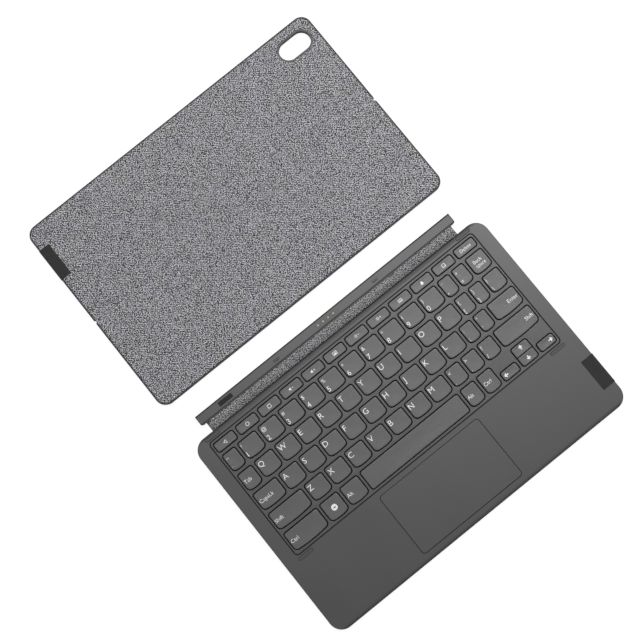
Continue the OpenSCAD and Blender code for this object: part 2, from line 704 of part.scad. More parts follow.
module keys_function_row() { keycaps(FUNCTION_KEYS); }
module key_delete() { keycaps(DELETE_KEY); }
module keys_number_row() { keycaps(NUMBER_KEYS); }
module key_backspace() { keycaps(BACKSPACE_KEY); }
module key_tab() { keycaps(TAB_KEY); }
module keys_q_row() { keycaps(Q_KEYS); }
module key_caps_lock() { keycaps(CAPS_KEY); }
module keys_a_row() {
    keycaps(A_KEYS);
    color(CAP) for (k = [A_KEYS[F_KEY], A_KEYS[J_KEY]])
        block(k[0], k[1] + homing_edge, cap_top - cap_face_t / 2,
            [homing_size[0], homing_size[1], cap_face_t / 2 + homing_h]);
}
module key_enter() { keycaps(ENTER_KEY); }
module key_left_shift() { keycaps(LEFT_SHIFT_KEY); }
module keys_z_row() { keycaps(Z_KEYS); }
module key_right_shift() { keycaps(RIGHT_SHIFT_KEY); }
module key_left_ctrl() { keycaps([bottom_key(0)]); }
module key_system() { keycaps([bottom_key(1)]); }
module key_left_alt() { keycaps([bottom_key(2)]); }
module key_space() { keycaps([bottom_key(SPACE)]); }
module key_right_alt() { keycaps([bottom_key(4)]); }
module key_right_ctrl() { keycaps([bottom_key(5)]); }
module key_arrow_left() { keycaps(ARROW_LEFT_KEY); }
module key_arrow_up() { keycaps(ARROW_UP_KEY); }
module key_arrow_down() { keycaps(ARROW_DOWN_KEY); }
module key_arrow_right() { keycaps(ARROW_RIGHT_KEY); }

module hinge_fabric() {
    color(FABRIC) translate([-strip_w / 2, deck_back + strip_gap, strip_low])
        cube([strip_w, strip_d - 2 * strip_gap, strip_t]);
}

// Plan of the dock bar: square at the back, rounded beside the fabric
module bar_outline(inset) {
    r = bar_r - min(inset, bar_r - 0.1);
    translate([0, bar_front + inset]) rounded(bar_w - 2 * inset, bar_d - 2 * inset, 0, r);
}

module bar_top_shell() {
    color(SHELL) difference() {
        translate([0, 0, bar_floor]) linear_extrude(bar_h - bar_floor) bar_outline(0);
        translate([0, 0, bar_floor - cut]) linear_extrude(bar_h - bar_floor - bar_roof + cut)
            bar_outline(bar_wall);
        block(0, bar_y, bar_floor, [block_w + 2 * touch, block_d + 2 * touch, bar_h]);
        for (s = [-1, 1]) translate([s * lug_span / 2, bar_y, bar_floor]) linear_extrude(bar_h)
            lug_outline(touch);
    }
}

module lug_outline(grow) {
    w = lug_w + 2 * grow;
    square([lug_l - lug_w, w], center = true);
    for (s = [-1, 1]) translate([s * (lug_l - lug_w) / 2, 0]) circle(d = w);
}

module bar_bottom_shell() {
    color(SHELL) linear_extrude(bar_floor) bar_outline(0);
}

function pin_xs() = [for (i = [0:pin_count - 1]) (i - (pin_count - 1) / 2) * pin_pitch];

module pin_block() {
    color(SHELL) difference() {
        block(0, bar_y, bar_floor, [block_w, block_d, bar_h - bar_floor]);
        for (x = pin_xs()) translate([x, bar_y, 0]) cylinder(d = pin_d + 2 * touch, h = 2 * bar_h);
    }
}

module contact_pins() {
    low = bar_floor + pin_travel + touch;
    color(GOLD) for (x = pin_xs()) translate([x, bar_y, low]) {
        cylinder(d = pin_d, h = bar_h + pin_proud / 2 - low);
        cylinder(d = pin_d * pin_tip, h = bar_h + pin_proud - low);
    }
}

module locating_lugs() {
    color(DARK) for (s = [-1, 1]) translate([s * lug_span / 2, bar_y, 0]) {
        translate([0, 0, bar_floor]) linear_extrude(bar_h + lug_h - bar_floor) lug_outline(0);
        block(0, 0, bar_floor, [lug_l + 2 * lug_flange, bar_d - 2 * bar_wall - 2 * slack,
            lug_flange_t]);
    }
}

module bar_magnets() {
    color(STEEL) for (x = bar_magnet_xs) block(x, bar_y, bar_floor, bar_magnet);
}

// Plan of the whole cover, drawn in by an inset
module cover_plan(inset) {
    translate([lay_shift, cover_y]) plan(cover_w - 2 * inset, cover_d - 2 * inset,
        cover_r - inset);
}

// Half of the plane: side 1 is the upper half beyond the fold, side -1 the kickstand
module half_plane(side, start) {
    reach = cover_d + lay_gap;
    translate([lay_shift - cover_w, side > 0 ? fold_y + start : fold_y - start - reach])
        square([2 * cover_w, reach]);
}

module half_plan(side, start, inset) {
    intersection() {
        cover_plan(inset);
        half_plane(side, start);
    }
}

// The corners that the rim loses at the fold, which make the notch
module notches(side) {
    for (s = [-1, 1]) {
        x = lay_shift + s * cover_w / 2;
        y = fold_y + side * half_end;
        translate([0, 0, -cut]) linear_extrude(cover_t + 2 * cut)
            polygon([[x + s * cut, y - side * cut], [x - s * notch_d, y - side * cut],
                [x - s * notch_d, y], [x, y + side * notch_w], [x + s * cut, y + side * notch_w]]);
    }
}

module window_outline(grow) {
    flat = window_w - window_h;
    translate([window_x, window_y]) {
        square([flat, window_h + 2 * grow], center = true);
        for (s = [-1, 1]) translate([s * flat / 2, 0]) circle(r = window_h / 2 + grow);
    }
}

// The stiff core of one half: a plate with a rim on three sides and pockets for the hinges
module half_board(side) {
    pin_y = fold_y + side * pivot_gap;
    open_l = pivot_gap + knuckle_r + 2 * slack;
    difference() {
        linear_extrude(rim_top) half_plan(side, half_end, 0);
        translate([0, 0, -cut]) linear_extrude(lining_t + cut) half_plan(side, 0, rim_w);
        translate([0, 0, core_top]) linear_extrude(cover_t) half_plan(side, 0, rim_w);
        notches(side);
        for (x = hinge_xs) {
            block(x, fold_y + side * open_l / 2, -cut,
                [leaf_w + 4 * slack, open_l, cover_t + 2 * cut]);
            block(x, pin_y + side * (leaf_l + slack) / 2, -cut,
                [leaf_w + 4 * slack, leaf_l + slack, pivot_z + leaf_t / 2 + cut]);
        }
    }
    for (x = hinge_xs) for (s = [-1, 1])
        translate([x + s * leaf_w / 4, pin_y + side * (leaf_l - peg_inset), pivot_z - leaf_t / 2])
            cylinder(r = peg_r, h = core_top - pivot_z + leaf_t / 2 - slack);
}

module hinge_leaves(side) {
    pin_y = fold_y + side * pivot_gap;
    start = knuckle_r + 2 * slack;
    color(STEEL) for (x = hinge_xs) difference() {
        union() {
            block(x, pin_y + side * (start + leaf_l) / 2, pivot_z - leaf_t / 2,
                [leaf_w, leaf_l - start, leaf_t]);
            block(x, pin_y + side * (start + neck_l) / 2, pivot_z - leaf_t / 2,
                [knuckle_w, start + neck_l, leaf_t]);
            translate([x - knuckle_w / 2, pin_y, pivot_z]) rotate([0, 90, 0])
                cylinder(r = knuckle_r, h = knuckle_w);
        }
        translate([x - leaf_w, pin_y, pivot_z]) rotate([0, 90, 0])
            cylinder(d = hinge_pin_d + 2 * touch, h = 2 * leaf_w);
        for (s = [-1, 1])
            translate([x + s * leaf_w / 4, pin_y + side * (leaf_l - peg_inset), 0])
                cylinder(r = peg_r + touch, h = cover_t);
    }
}

module cover_hinge_leaves() { hinge_leaves(1); }
module stand_hinge_leaves() { hinge_leaves(-1); }

module hinge_links() {
    color(STEEL) for (x = hinge_xs) for (s = [-1, 1]) difference() {
        translate([x + s * (leaf_w - link_w) / 2 - link_w / 2, fold_y, pivot_z])
            rotate([90, 0, 90]) linear_extrude(link_w) {
                square([2 * pivot_gap, knuckle_r], center = true);
                for (side = [-1, 1]) translate([side * pivot_gap, 0]) circle(r = knuckle_r);
            }
        for (side = [-1, 1]) translate([x - leaf_w, fold_y + side * pivot_gap, pivot_z])
            rotate([0, 90, 0]) cylinder(d = hinge_pin_d, h = 2 * leaf_w);
    }
}

module hinge_pins() {
    color(STEEL) for (x = hinge_xs) for (side = [-1, 1])
        translate([x - leaf_w / 2, fold_y + side * pivot_gap, pivot_z]) rotate([0, 90, 0])
            cylinder(d = hinge_pin_d, h = leaf_w);
}

// The fabric between the two pins, which folds in on itself as the kickstand opens
module fold_fabric() {
    color(FABRIC) block(lay_shift, fold_y, core_top + touch,
        [cover_w - 2 * rim_w, 2 * (fabric_end - touch), fabric_t - 2 * touch]);
}

module cover_board() {
    color(SHELL) difference() {
        half_board(1);
        translate([0, 0, -cut]) linear_extrude(cover_t + 2 * cut) window_outline(ring_w);
        for (p = cover_magnet_places()) translate([p[0], p[1], lining_t - cut])
            cylinder(r = cover_magnet_r + touch, h = cut + cover_magnet_t + touch);
    }
}

// Eight magnets in the upper half: four along its far edge and four beside the fold
function cover_magnet_places() =
    [for (x = cover_magnet_xs) for (y = cover_magnet_ys) [lay_shift + x, y]];

module cover_magnets() {
    color(STEEL) for (p = cover_magnet_places()) translate([p[0], p[1], lining_t])
        cylinder(r = cover_magnet_r, h = cover_magnet_t);
}

module cover_fabric() {
    color(FABRIC) translate([0, 0, core_top]) linear_extrude(fabric_t) difference() {
        half_plan(1, fabric_end, rim_w);
        window_outline(ring_w);
    }
}

module cover_lining() {
    color(LINING) linear_extrude(lining_t) difference() {
        half_plan(1, half_end, rim_w);
        window_outline(ring_w);
    }
}

module camera_ring() {
    color(SHELL) difference() {
        linear_extrude(cover_t) window_outline(ring_w);
        translate([0, 0, -cut]) linear_extrude(cover_t + 2 * cut) window_outline(0);
    }
}

module cover_tag() {
    side = lay_shift - cover_w / 2;
    color(TAG) translate([0, cover_y + cover_tag_y, 0]) rotate([90, 0, 0])
        translate([0, 0, -cover_tag_l / 2]) linear_extrude(cover_tag_l)
            polygon([[side + cover_tag_w, cover_t], [side + rim_w, cover_t], [side, rim_top],
                [side, lining_t], [side - tag_t, lining_t], [side - tag_t, rim_top + tag_t / 2],
                [side + rim_w - tag_t / 2, cover_t + tag_t],
                [side + cover_tag_w, cover_t + tag_t]]);
}

module stand_board() {
    color(SHELL) half_board(-1);
}

module stand_fabric() {
    color(FABRIC) translate([0, 0, core_top]) linear_extrude(fabric_t)
        half_plan(-1, fabric_end, rim_w);
}

module stand_lining() {
    color(LINING) linear_extrude(lining_t) half_plan(-1, half_end, rim_w);
}

deck_top_shell();
key_frame();
deck_bottom_shell();
key_backplate();
key_membrane();
rubber_domes();
scissor_frames();
plate_screws();
trackpad();
trackpad_spring();
click_switch();
main_board();
flex_cable();
deck_magnets();
rubber_bumpers();
deck_tag();
keys_function_row();
key_delete();
keys_number_row();
key_backspace();
key_tab();
keys_q_row();
key_caps_lock();
keys_a_row();
key_enter();
key_left_shift();
keys_z_row();
key_right_shift();
key_left_ctrl();
key_system();
key_left_alt();
key_space();
key_right_alt();
key_right_ctrl();
key_arrow_left();
key_arrow_up();
key_arrow_down();
key_arrow_right();
hinge_fabric();
bar_top_shell();
bar_bottom_shell();
pin_block();
contact_pins();
locating_lugs();
bar_magnets();
cover_board();
cover_fabric();
cover_lining();
cover_magnets();
camera_ring();
cover_tag();
cover_hinge_leaves();
hinge_links();
hinge_pins();
fold_fabric();
stand_board();
stand_fabric();
stand_lining();
stand_hinge_leaves();
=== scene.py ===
"""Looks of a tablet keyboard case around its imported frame. Lengths are millimetres until mesh()."""

import json
import math

import bmesh
import bpy
from mathutils import Matrix, Vector
from mathutils.geometry import tessellate_polygon


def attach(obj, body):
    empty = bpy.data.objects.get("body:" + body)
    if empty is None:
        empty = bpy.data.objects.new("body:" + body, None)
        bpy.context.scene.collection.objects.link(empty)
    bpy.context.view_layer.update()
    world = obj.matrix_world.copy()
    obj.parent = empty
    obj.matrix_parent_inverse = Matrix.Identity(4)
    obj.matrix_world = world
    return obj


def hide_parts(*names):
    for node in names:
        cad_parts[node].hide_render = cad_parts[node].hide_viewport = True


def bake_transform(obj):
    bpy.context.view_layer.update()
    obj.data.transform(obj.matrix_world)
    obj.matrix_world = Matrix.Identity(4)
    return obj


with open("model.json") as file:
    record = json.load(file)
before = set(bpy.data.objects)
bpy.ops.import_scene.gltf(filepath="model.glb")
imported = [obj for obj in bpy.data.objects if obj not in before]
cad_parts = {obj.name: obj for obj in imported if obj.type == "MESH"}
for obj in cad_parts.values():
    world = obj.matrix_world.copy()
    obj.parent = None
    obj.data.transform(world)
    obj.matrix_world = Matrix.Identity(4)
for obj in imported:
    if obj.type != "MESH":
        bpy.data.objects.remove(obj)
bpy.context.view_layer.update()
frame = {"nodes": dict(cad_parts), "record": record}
NODES = frame["nodes"]
MM = 0.001

# -------------------- sizes, as in the solids
DECK_W, DECK_D, DECK_T = 261.4, 165.7, 5.4
DECK_BACK = DECK_D / 2
KEY_SPAN, KEY_WEB, ROW_PITCH = 236.6, 1.67, 17.35
NUMBER_ROW_Y = 65.35
LETTER_W, LETTER_D, FUNCTION_D, BOTTOM_D = 16.5, 15.3, 8.3, 16.3
GRAVE_W, SMALL_W, MID_W, TAB_W, CAPS_W, SHIFT_W, ARROW_W = 12.2, 11.1, 13.1, 13.4, 21.5, 30.5, 14.8
TOP_R, LOW_R, BOW = 2.2, 3.4, 0.9
KEY_GAP, ARROW_GAP = 0.75, 0.5
CAP_TOP, CAP_LOW, CAP_FACE, CAP_SKIRT, CLIP_LOW = 5.75, 4.35, 0.8, 0.7, 3.55
FIELD_SIDE, FIELD_END, FRAME_R, FRAME_GAP = 1.7, 2.1, 3.0, 0.45
FRAME_LOW, FRAME_TOP = 4.1, 5.1
PAD_W, PAD_D, PAD_R, PAD_X, PAD_Y, PAD_LOW, PAD_TOP = 88.8, 50.0, 2.5, -5.15, -51.6, 4.1, 5.25
STRIP_W, STRIP_D, STRIP_LOW, STRIP_T = 224.6, 7.5, 0.15, 0.9
STRIP_GAP, STRIP_BEND = 0.02, 0.65
BAR_W, BAR_D, BAR_H = 231.5, 8.1, 4.8
BAR_FRONT, BAR_BACK = DECK_BACK + STRIP_D, DECK_BACK + STRIP_D + BAR_D
BAR_Y = (BAR_FRONT + BAR_BACK) / 2
COVER_X, COVER_W, COVER_FRONT, COVER_D = -0.8, 258.4, 116.95, 163.0
COVER_Y, COVER_BACK = COVER_FRONT + COVER_D / 2, COVER_FRONT + COVER_D
COVER_T, CORE_TOP, RIM_W, COVER_R = 3.8, 3.0, 1.0, 8.0
CLOTH_INSET, LINING_T, HALF_END = RIM_W + 0.03, 0.5, 0.55
FOLD_Y, PIVOT_GAP = COVER_Y - 1.8, 2.05
WINDOW_W, WINDOW_H, RING_W = 26.0, 14.6, 1.5
WINDOW_X, WINDOW_Y = COVER_X + COVER_W / 2 - 20.25, COVER_BACK - 15.65

SHARP_ANGLE = math.radians(35)


# -------------------- meshes
def smooth(obj):
    """Smooth shading, with the edges past that angle left sharp."""
    obj.data.polygons.foreach_set("use_smooth", [True] * len(obj.data.polygons))
    obj.data.set_sharp_from_angle(angle=SHARP_ANGLE)
    obj.modifiers.new("normals", "WEIGHTED_NORMAL").keep_sharp = True


def mesh(name, verts, faces):
    """A smooth-shaded object from points in mm, closed and with its normals outwards."""
    data = bpy.data.meshes.new(name)
    data.from_pydata([Vector(v) * MM for v in verts], [], faces)
    bm = bmesh.new()
    bm.from_mesh(data)
    bmesh.ops.remove_doubles(bm, verts=bm.verts, dist=1e-7)
    bmesh.ops.recalc_face_normals(bm, faces=bm.faces)
    bm.to_mesh(data)
    bm.free()
    obj = bpy.data.objects.new(name, data)
    bpy.context.scene.collection.objects.link(obj)
    smooth(obj)
    return obj


def joined(parts):
    """One list of points and one of faces from several."""
    verts, faces = [], []
    for v, f in parts:
        start = len(verts)
        verts += [tuple(p) for p in v]
        faces += [tuple(i + start for i in face) for face in f]
    return verts, faces


def loft(rings):
    """A closed solid through rings of equally many points, the first and last filled in."""
    n = len(rings[0])
    verts = [tuple(p) for ring in rings for p in ring]
    faces = []
    for r in range(len(rings) - 1):
        for i in range(n):
            j = (i + 1) % n
            faces.append((r * n + i, r * n + j, (r + 1) * n + j, (r + 1) * n + i))
    faces.append(tuple(range(n))[::-1])
    faces.append(tuple((len(rings) - 1) * n + i for i in range(n)))
    return verts, faces


def arc(x, y, r, start, end, parts):
    """Points of an arc about (x, y), from one angle to another in degrees."""
    steps = [math.radians(start + (end - start) * i / parts) for i in range(parts + 1)]
    return [(x + r * math.cos(a), y + r * math.sin(a)) for a in steps]


def rounded(x, y, w, d, top_r, low_r=None, parts=8):
    """inset -> outline of a rectangle about (x, y) with rounded corners."""
    low_r = top_r if low_r is None else low_r

    def outline(inset=0.0):
        hw, hd = w / 2 - inset, d / 2 - inset
        tr, lr = max(top_r - inset, 0.01), max(low_r - inset, 0.01)
        return (
            arc(x + hw - lr, y - hd + lr, lr, -90, 0, parts)
            + arc(x + hw - tr, y + hd - tr, tr, 0, 90, parts)
            + arc(x - hw + tr, y + hd - tr, tr, 90, 180, parts)
            + arc(x - hw + lr, y - hd + lr, lr, 180, 270, parts)
        )

    return outline


def bowed(x, y_low, w0, d0, parts=8, bow_parts=14):
    """inset -> outline of a letter key, whose lower edge bows down."""

    def outline(inset=0.0):
        w, d = w0 - 2 * inset, d0 - 2 * inset
        tr, lr = TOP_R - inset, LOW_R - inset
        y0 = y_low + inset
        bow_r = (w * w / 4 + BOW * BOW) / (2 * BOW)
        cx = w / 2 - lr
        lean = math.degrees(math.asin(cx / (bow_r - lr)))
        cy = bow_r - (bow_r - lr) * math.cos(math.radians(lean))
        low = arc(x, y0 + bow_r, bow_r, 270 - lean, 270 + lean, bow_parts)
        return (
            arc(x + cx, y0 + cy, lr, lean - 90, 0, parts)
            + arc(x + w / 2 - tr, y0 + d - tr, tr, 0, 90, parts)
            + arc(x - w / 2 + tr, y0 + d - tr, tr, 90, 180, parts)
            + arc(x - cx, y0 + cy, lr, 180, 270 - lean, parts)
            + low[1:-1]
        )

    return outline


def plate(outer, holes, z0, z1, r_top, r_low=0.05):
    """A flat plate with holes and rounded edges. Outlines are functions of an inset."""
    profile = [(r_low, z0), (0, z0 + r_low)] + [
        (r_top * (1 - math.cos(math.radians(a))), z1 - r_top * (1 - math.sin(math.radians(a))))
        for a in (0, 30, 60, 90)
    ]
    verts, faces, caps = [], [], [[], []]
    for sign, outline in [(1, outer)] + [(-1, h) for h in holes]:
        n = len(outline(0))
        start = len(verts)
        for inset, z in profile:
            verts += [(p[0], p[1], z) for p in outline(sign * inset)]
        for r in range(len(profile) - 1):
            for i in range(n):
                j = (i + 1) % n
                a, b = start + r * n, start + (r + 1) * n
                faces.append((a + i, a + j, b + j, b + i))
        caps[0].append(list(range(start, start + n)))
        caps[1].append(list(range(start + (len(profile) - 1) * n, start + len(profile) * n)))
    for loops in caps:
        flat = [i for loop in loops for i in loop]
        triangles = tessellate_polygon([[Vector(verts[i]) for i in loop] for loop in loops])
        faces += [tuple(flat[i] for i in t) for t in triangles]
    return verts, faces


def box(x0, x1, y0, y1, z0, z1):
    ring = [(x0, y0), (x1, y0), (x1, y1), (x0, y1)]
    return loft([[(x, y, z) for x, y in ring] for z in (z0, z1)])


# -------------------- key field
def fill(widths):
    """The widths of a row whose last key takes what is left of the span."""
    return widths + [KEY_SPAN - sum(widths) - len(widths) * KEY_WEB]


FUNCTION_W = (KEY_SPAN - 11 * KEY_WEB) / 12
SPACE_W = 5 * LETTER_W + 4 * KEY_WEB
ROWS = {
    "function": [FUNCTION_W] * 12,
    "number": fill([GRAVE_W] + [LETTER_W] * 10 + [SMALL_W] * 2),
    "q": fill([TAB_W] + [LETTER_W] * 10 + [SMALL_W] * 2),
    "a": fill([CAPS_W] + [LETTER_W] * 9 + [SMALL_W] * 2),
    "z": fill([SHIFT_W] + [LETTER_W] * 7 + [MID_W] * 3),
    "bottom": fill([SHIFT_W, LETTER_W, LETTER_W, SPACE_W, MID_W, MID_W, ARROW_W, ARROW_W]),
}
NUMBER_Y = NUMBER_ROW_Y - LETTER_D
BOTTOM_Y = NUMBER_ROW_Y - 4 * ROW_PITCH - BOTTOM_D
ROW_Y = {"number": NUMBER_Y, "q": NUMBER_Y - ROW_PITCH, "a": NUMBER_Y - 2 * ROW_PITCH}
ROW_Y.update(z=NUMBER_Y - 3 * ROW_PITCH, bottom=BOTTOM_Y)
ROW_Y["function"] = NUMBER_ROW_Y + ROW_PITCH - LETTER_D
SPACE, ARROW_LEFT, ARROW_MIDDLE, ARROW_RIGHT = 3, 6, 7, 8

WELL_FRONT, WELL_BACK = BOTTOM_Y - FIELD_END, ROW_Y["function"] + FUNCTION_D + FIELD_END
WELL_Y, WELL_W, WELL_D = (WELL_FRONT + WELL_BACK) / 2, KEY_SPAN + 2 * FIELD_SIDE, WELL_BACK - WELL_FRONT
GRID_W, GRID_D, GRID_R = WELL_W - 2 * FRAME_GAP, WELL_D - 2 * FRAME_GAP, FRAME_R - FRAME_GAP
BUMPER_L, BUMPER_W, BUMPER_YS = 12, 1.8, (WELL_FRONT - 2.5, WELL_BACK + 2.3)
BUMPER_X = (WELL_W - BUMPER_L) / 2

DISH, DISH_SIDE = 0.13, 0.4
CAP_EDGE = [(0.0, 0.42), (0.03, 0.26), (0.11, 0.13), (0.24, 0.04), (0.42, 0.0)]
DISH_RINGS = (0.86, 0.68, 0.5, 0.32, 0.15)
SPLIT_R = 0.3
SCISSOR_W, SCISSOR_D, SCISSOR_SIDE, SCISSOR_END = 9.6, 8.4, 4.4, 2
CLIP_GAP, CLIP_IN, CLIP_T, CLIP_W, CLIP_SINK = 0.15, 0.8, 0.7, 1.2, 0.2
HOME_PLACES, HOME_UP, HOME_SINK = (3, 6), 2.0, 0.3
HOME_W, HOME_D, HOME_H, HOME_R = 3.6, 0.5, 0.1, 0.24


class Key:
    """The hole of one key, its cap's outline and the height of its dished face.

    half is 1 or -1 for the upper or lower of two caps in one hole, and 0 for a cap by itself.
    """

    def __init__(self, row, place):
        widths = ROWS[row]
        self.w = widths[place]
        self.x = sum(widths[:place]) + place * KEY_WEB + self.w / 2 - KEY_SPAN / 2
        self.y = ROW_Y[row]
        self.d = {"function": FUNCTION_D, "bottom": BOTTOM_D}.get(row, LETTER_D)
        self.kind = "round" if row == "function" or (row, place) == ("bottom", SPACE) else "bowed"
        self.half = 0
        if row == "bottom" and place >= ARROW_LEFT:
            self.kind, self.d = "round", BOTTOM_D / 2

    @property
    def mid(self):
        return self.y + self.d / 2

    def hole(self):
        if self.kind == "bowed":
            return bowed(self.x, self.y, self.w, self.d)
        return rounded(self.x, self.mid, self.w, self.d, TOP_R)

    def cap(self, inset):
        """The cap's outline, drawn in by an inset from its own edge."""
        if self.kind == "bowed":
            return bowed(self.x, self.y, self.w, self.d)(KEY_GAP + inset)
        low = KEY_GAP if self.half <= 0 else ARROW_GAP / 2
        high = KEY_GAP if self.half >= 0 else ARROW_GAP / 2
        y0, y1 = self.y + low, self.y + self.d - high
        top_r = TOP_R - KEY_GAP if self.half >= 0 else SPLIT_R
        low_r = TOP_R - KEY_GAP if self.half <= 0 else SPLIT_R
        return rounded(self.x, (y0 + y1) / 2, self.w - 2 * KEY_GAP, y1 - y0, top_r, low_r)(inset)

    def face_z(self, x, y):
        """Height of the cap's face, which is dished a little."""
        u = min(1.0, abs(x - self.x) / (self.w / 2 - KEY_GAP - DISH_SIDE))
        v = min(1.0, abs(y - self.mid) / (self.d / 2 - KEY_GAP - DISH_SIDE))
        return CAP_TOP - DISH * (1 - u * u) * (1 - v * v)


def keycap(key):
    """One cap: rounded edge, dished face, skirt, hollow underside and four clips."""
    rings = [[(x, y, CAP_LOW) for x, y in key.cap(0)]]
    rings += [[(x, y, CAP_TOP - drop) for x, y in key.cap(inset)] for inset, drop in CAP_EDGE]
    rim = key.cap(CAP_EDGE[-1][0])
    for s in DISH_RINGS:
        ring = [(key.x + (x - key.x) * s, key.mid + (y - key.mid) * s) for x, y in rim]
        rings.append([(x, y, key.face_z(x, y)) for x, y in ring])
    inner = [[(x, y, z) for x, y in key.cap(CAP_SKIRT)] for z in (CAP_LOW, CAP_TOP - CAP_FACE)]
    shell = loft([inner[1], inner[0]] + rings)
    side = min(key.w - 2 * KEY_GAP - SCISSOR_SIDE, SCISSOR_W) / 2 + CLIP_GAP
    end = min(key.d - 2 * KEY_GAP - SCISSOR_END, SCISSOR_D) / 2 - CLIP_IN
    clips = [
        box(key.x + sx * side, key.x + sx * (side + CLIP_T), key.mid + sy * end - CLIP_W / 2,
            key.mid + sy * end + CLIP_W / 2, CLIP_LOW, CAP_TOP - CAP_FACE / 2 - CLIP_SINK)
        for sx in (-1, 1) for sy in (-1, 1)
    ]
    return joined([shell] + clips)


def home_bar(key):
    """The raised bar on a key where a forefinger rests."""
    outline = rounded(key.x, key.y + HOME_UP, HOME_W, HOME_D, HOME_R)
    return plate(outline, [], CAP_TOP - HOME_SINK, CAP_TOP + HOME_H, HOME_H)


# -------------------- legends
LEGEND_H, LEGEND_SINK, BOLD = 0.025, 0.1, -0.004


def glyphs(text):
    """Flat triangles of a text in the font's own units."""
    curve = bpy.data.curves.new("text", "FONT")
    curve.body = text
    curve.resolution_u = 3
    curve.offset = BOLD
    obj = bpy.data.objects.new("text", curve)
    bpy.context.scene.collection.objects.link(obj)
    bpy.context.view_layer.update()
    data = bpy.data.meshes.new_from_object(obj.evaluated_get(bpy.context.evaluated_depsgraph_get()))
    verts = [(v.co.x, v.co.y) for v in data.vertices]
    faces = [tuple(p.vertices) for p in data.polygons]
    bpy.data.objects.remove(obj)
    bpy.data.meshes.remove(data)
    return verts, faces


CAPITAL_YS = [y for _, y in glyphs("H")[0]]
CAPITAL_H = max(CAPITAL_YS) - min(CAPITAL_YS)


def text_shape(text, height):
    """Flat triangles of a text whose capitals have that height, from the baseline up."""
    verts, faces = glyphs(text)
    scale = height / CAPITAL_H
    left = min(x for x, _ in verts)
    return [((x - left) * scale, y * scale) for x, y in verts], faces


def shape_width(shape):
    return max(v[0] for v in shape[0])


def moved(shape, dx, dy):
    return [(x + dx, y + dy) for x, y in shape[0]], shape[1]


def polygon(points):
    """A filled polygon, without holes, as triangles."""
    triangles = tessellate_polygon([[Vector((x, y, 0)) for x, y in points]])
    return points, [tuple(t) for t in triangles]


def band(outer, inner):
    """The area between two outlines of equally many points."""
    n = len(outer)
    faces = [(i, (i + 1) % n, n + (i + 1) % n, n + i) for i in range(n)]
    return list(outer) + list(inner), faces


def circle(n):
    """Points of a circle of radius 1."""
    return [(math.cos(2 * math.pi * i / n), math.sin(2 * math.pi * i / n)) for i in range(n)]


def ring_shape(r, width, n=24):
    low = r - width
    return band([(r * x, r * y) for x, y in circle(n)], [(low * x, low * y) for x, y in circle(n)])


def rect(x0, y0, x1, y1):
    return [(x0, y0), (x1, y0), (x1, y1), (x0, y1)]


def frame_shape(w, h, width):
    return band(rect(-w / 2, -h / 2, w / 2, h / 2),
                rect(-w / 2 + width, -h / 2 + width, w / 2 - width, h / 2 - width))


def shapes(*parts):
    return joined(parts)


def legend_solid(shape, key):
    """A thin closed solid of a flat shape, printed on a cap's face."""
    verts, faces = shape
    keep, index = {}, []
    for v in verts:
        tag = (round(v[0], 4), round(v[1], 4))
        index.append(keep.setdefault(tag, len(keep)))
    points = list(keep)
    tris = [t for t in (tuple(dict.fromkeys(index[i] for i in f)) for f in faces) if len(t) > 2]
    top = [(x, y, key.face_z(x, y) + LEGEND_H) for x, y in points]
    low = [(x, y, key.face_z(x, y) - LEGEND_SINK) for x, y in points]
    n = len(points)
    edges = dict.fromkeys((a, t[(i + 1) % len(t)]) for t in tris for i, a in enumerate(t))
    sides = [(a, b, b + n, a + n) for a, b in edges if (b, a) not in edges]
    return top + low, tris + [tuple(i + n for i in t)[::-1] for t in tris] + sides


def speaker():
    return polygon([(-2.0, -0.5), (-1.3, -0.5), (-0.3, -1.35), (-0.3, 1.35), (-1.3, 0.5), (-2.0, 0.5)])


def minus(x, w=0.55, t=0.16):
    return polygon(rect(x - w, -t, x + w, t))


def plus(x, h=0.6, t=0.16):
    return shapes(minus(x), polygon(rect(x - t, t, x + t, h)), polygon(rect(x - t, -h, x + t, -t)))


def sun(left=0.7):
    """A ring with eight rays, a little left of the key's middle."""
    ray = rect(-0.11, 1.05, 0.11, 1.45)
    rays = []
    for i in range(8):
        c, s = math.cos(math.pi * i / 4), math.sin(math.pi * i / 4)
        rays.append(polygon([(a * s + b * c - left, -a * c + b * s) for a, b in ray]))
    return shapes(moved(ring_shape(0.8, 0.28, 16), -left, 0), *rays)


def arrow(turn):
    """An arrow that points left, turned by that many degrees."""
    points = [(-1.75, 0), (-0.1, 1.65), (0.35, 1.2), (-0.3, 0.42), (1.6, 0.42),
              (1.6, -0.42), (-0.3, -0.42), (0.35, -1.2), (-0.1, -1.65)]
    c, s = math.cos(math.radians(turn)), math.sin(math.radians(turn))
    return polygon([(x * c - y * s, x * s + y * c) for x, y in points])


def triangle(size, width):
    def outline(r):
        return [(r * math.cos(math.radians(a)), r * math.sin(math.radians(a))) for a in (180, 300, 60)]
    return band(outline(size), outline(size - 2 * width))


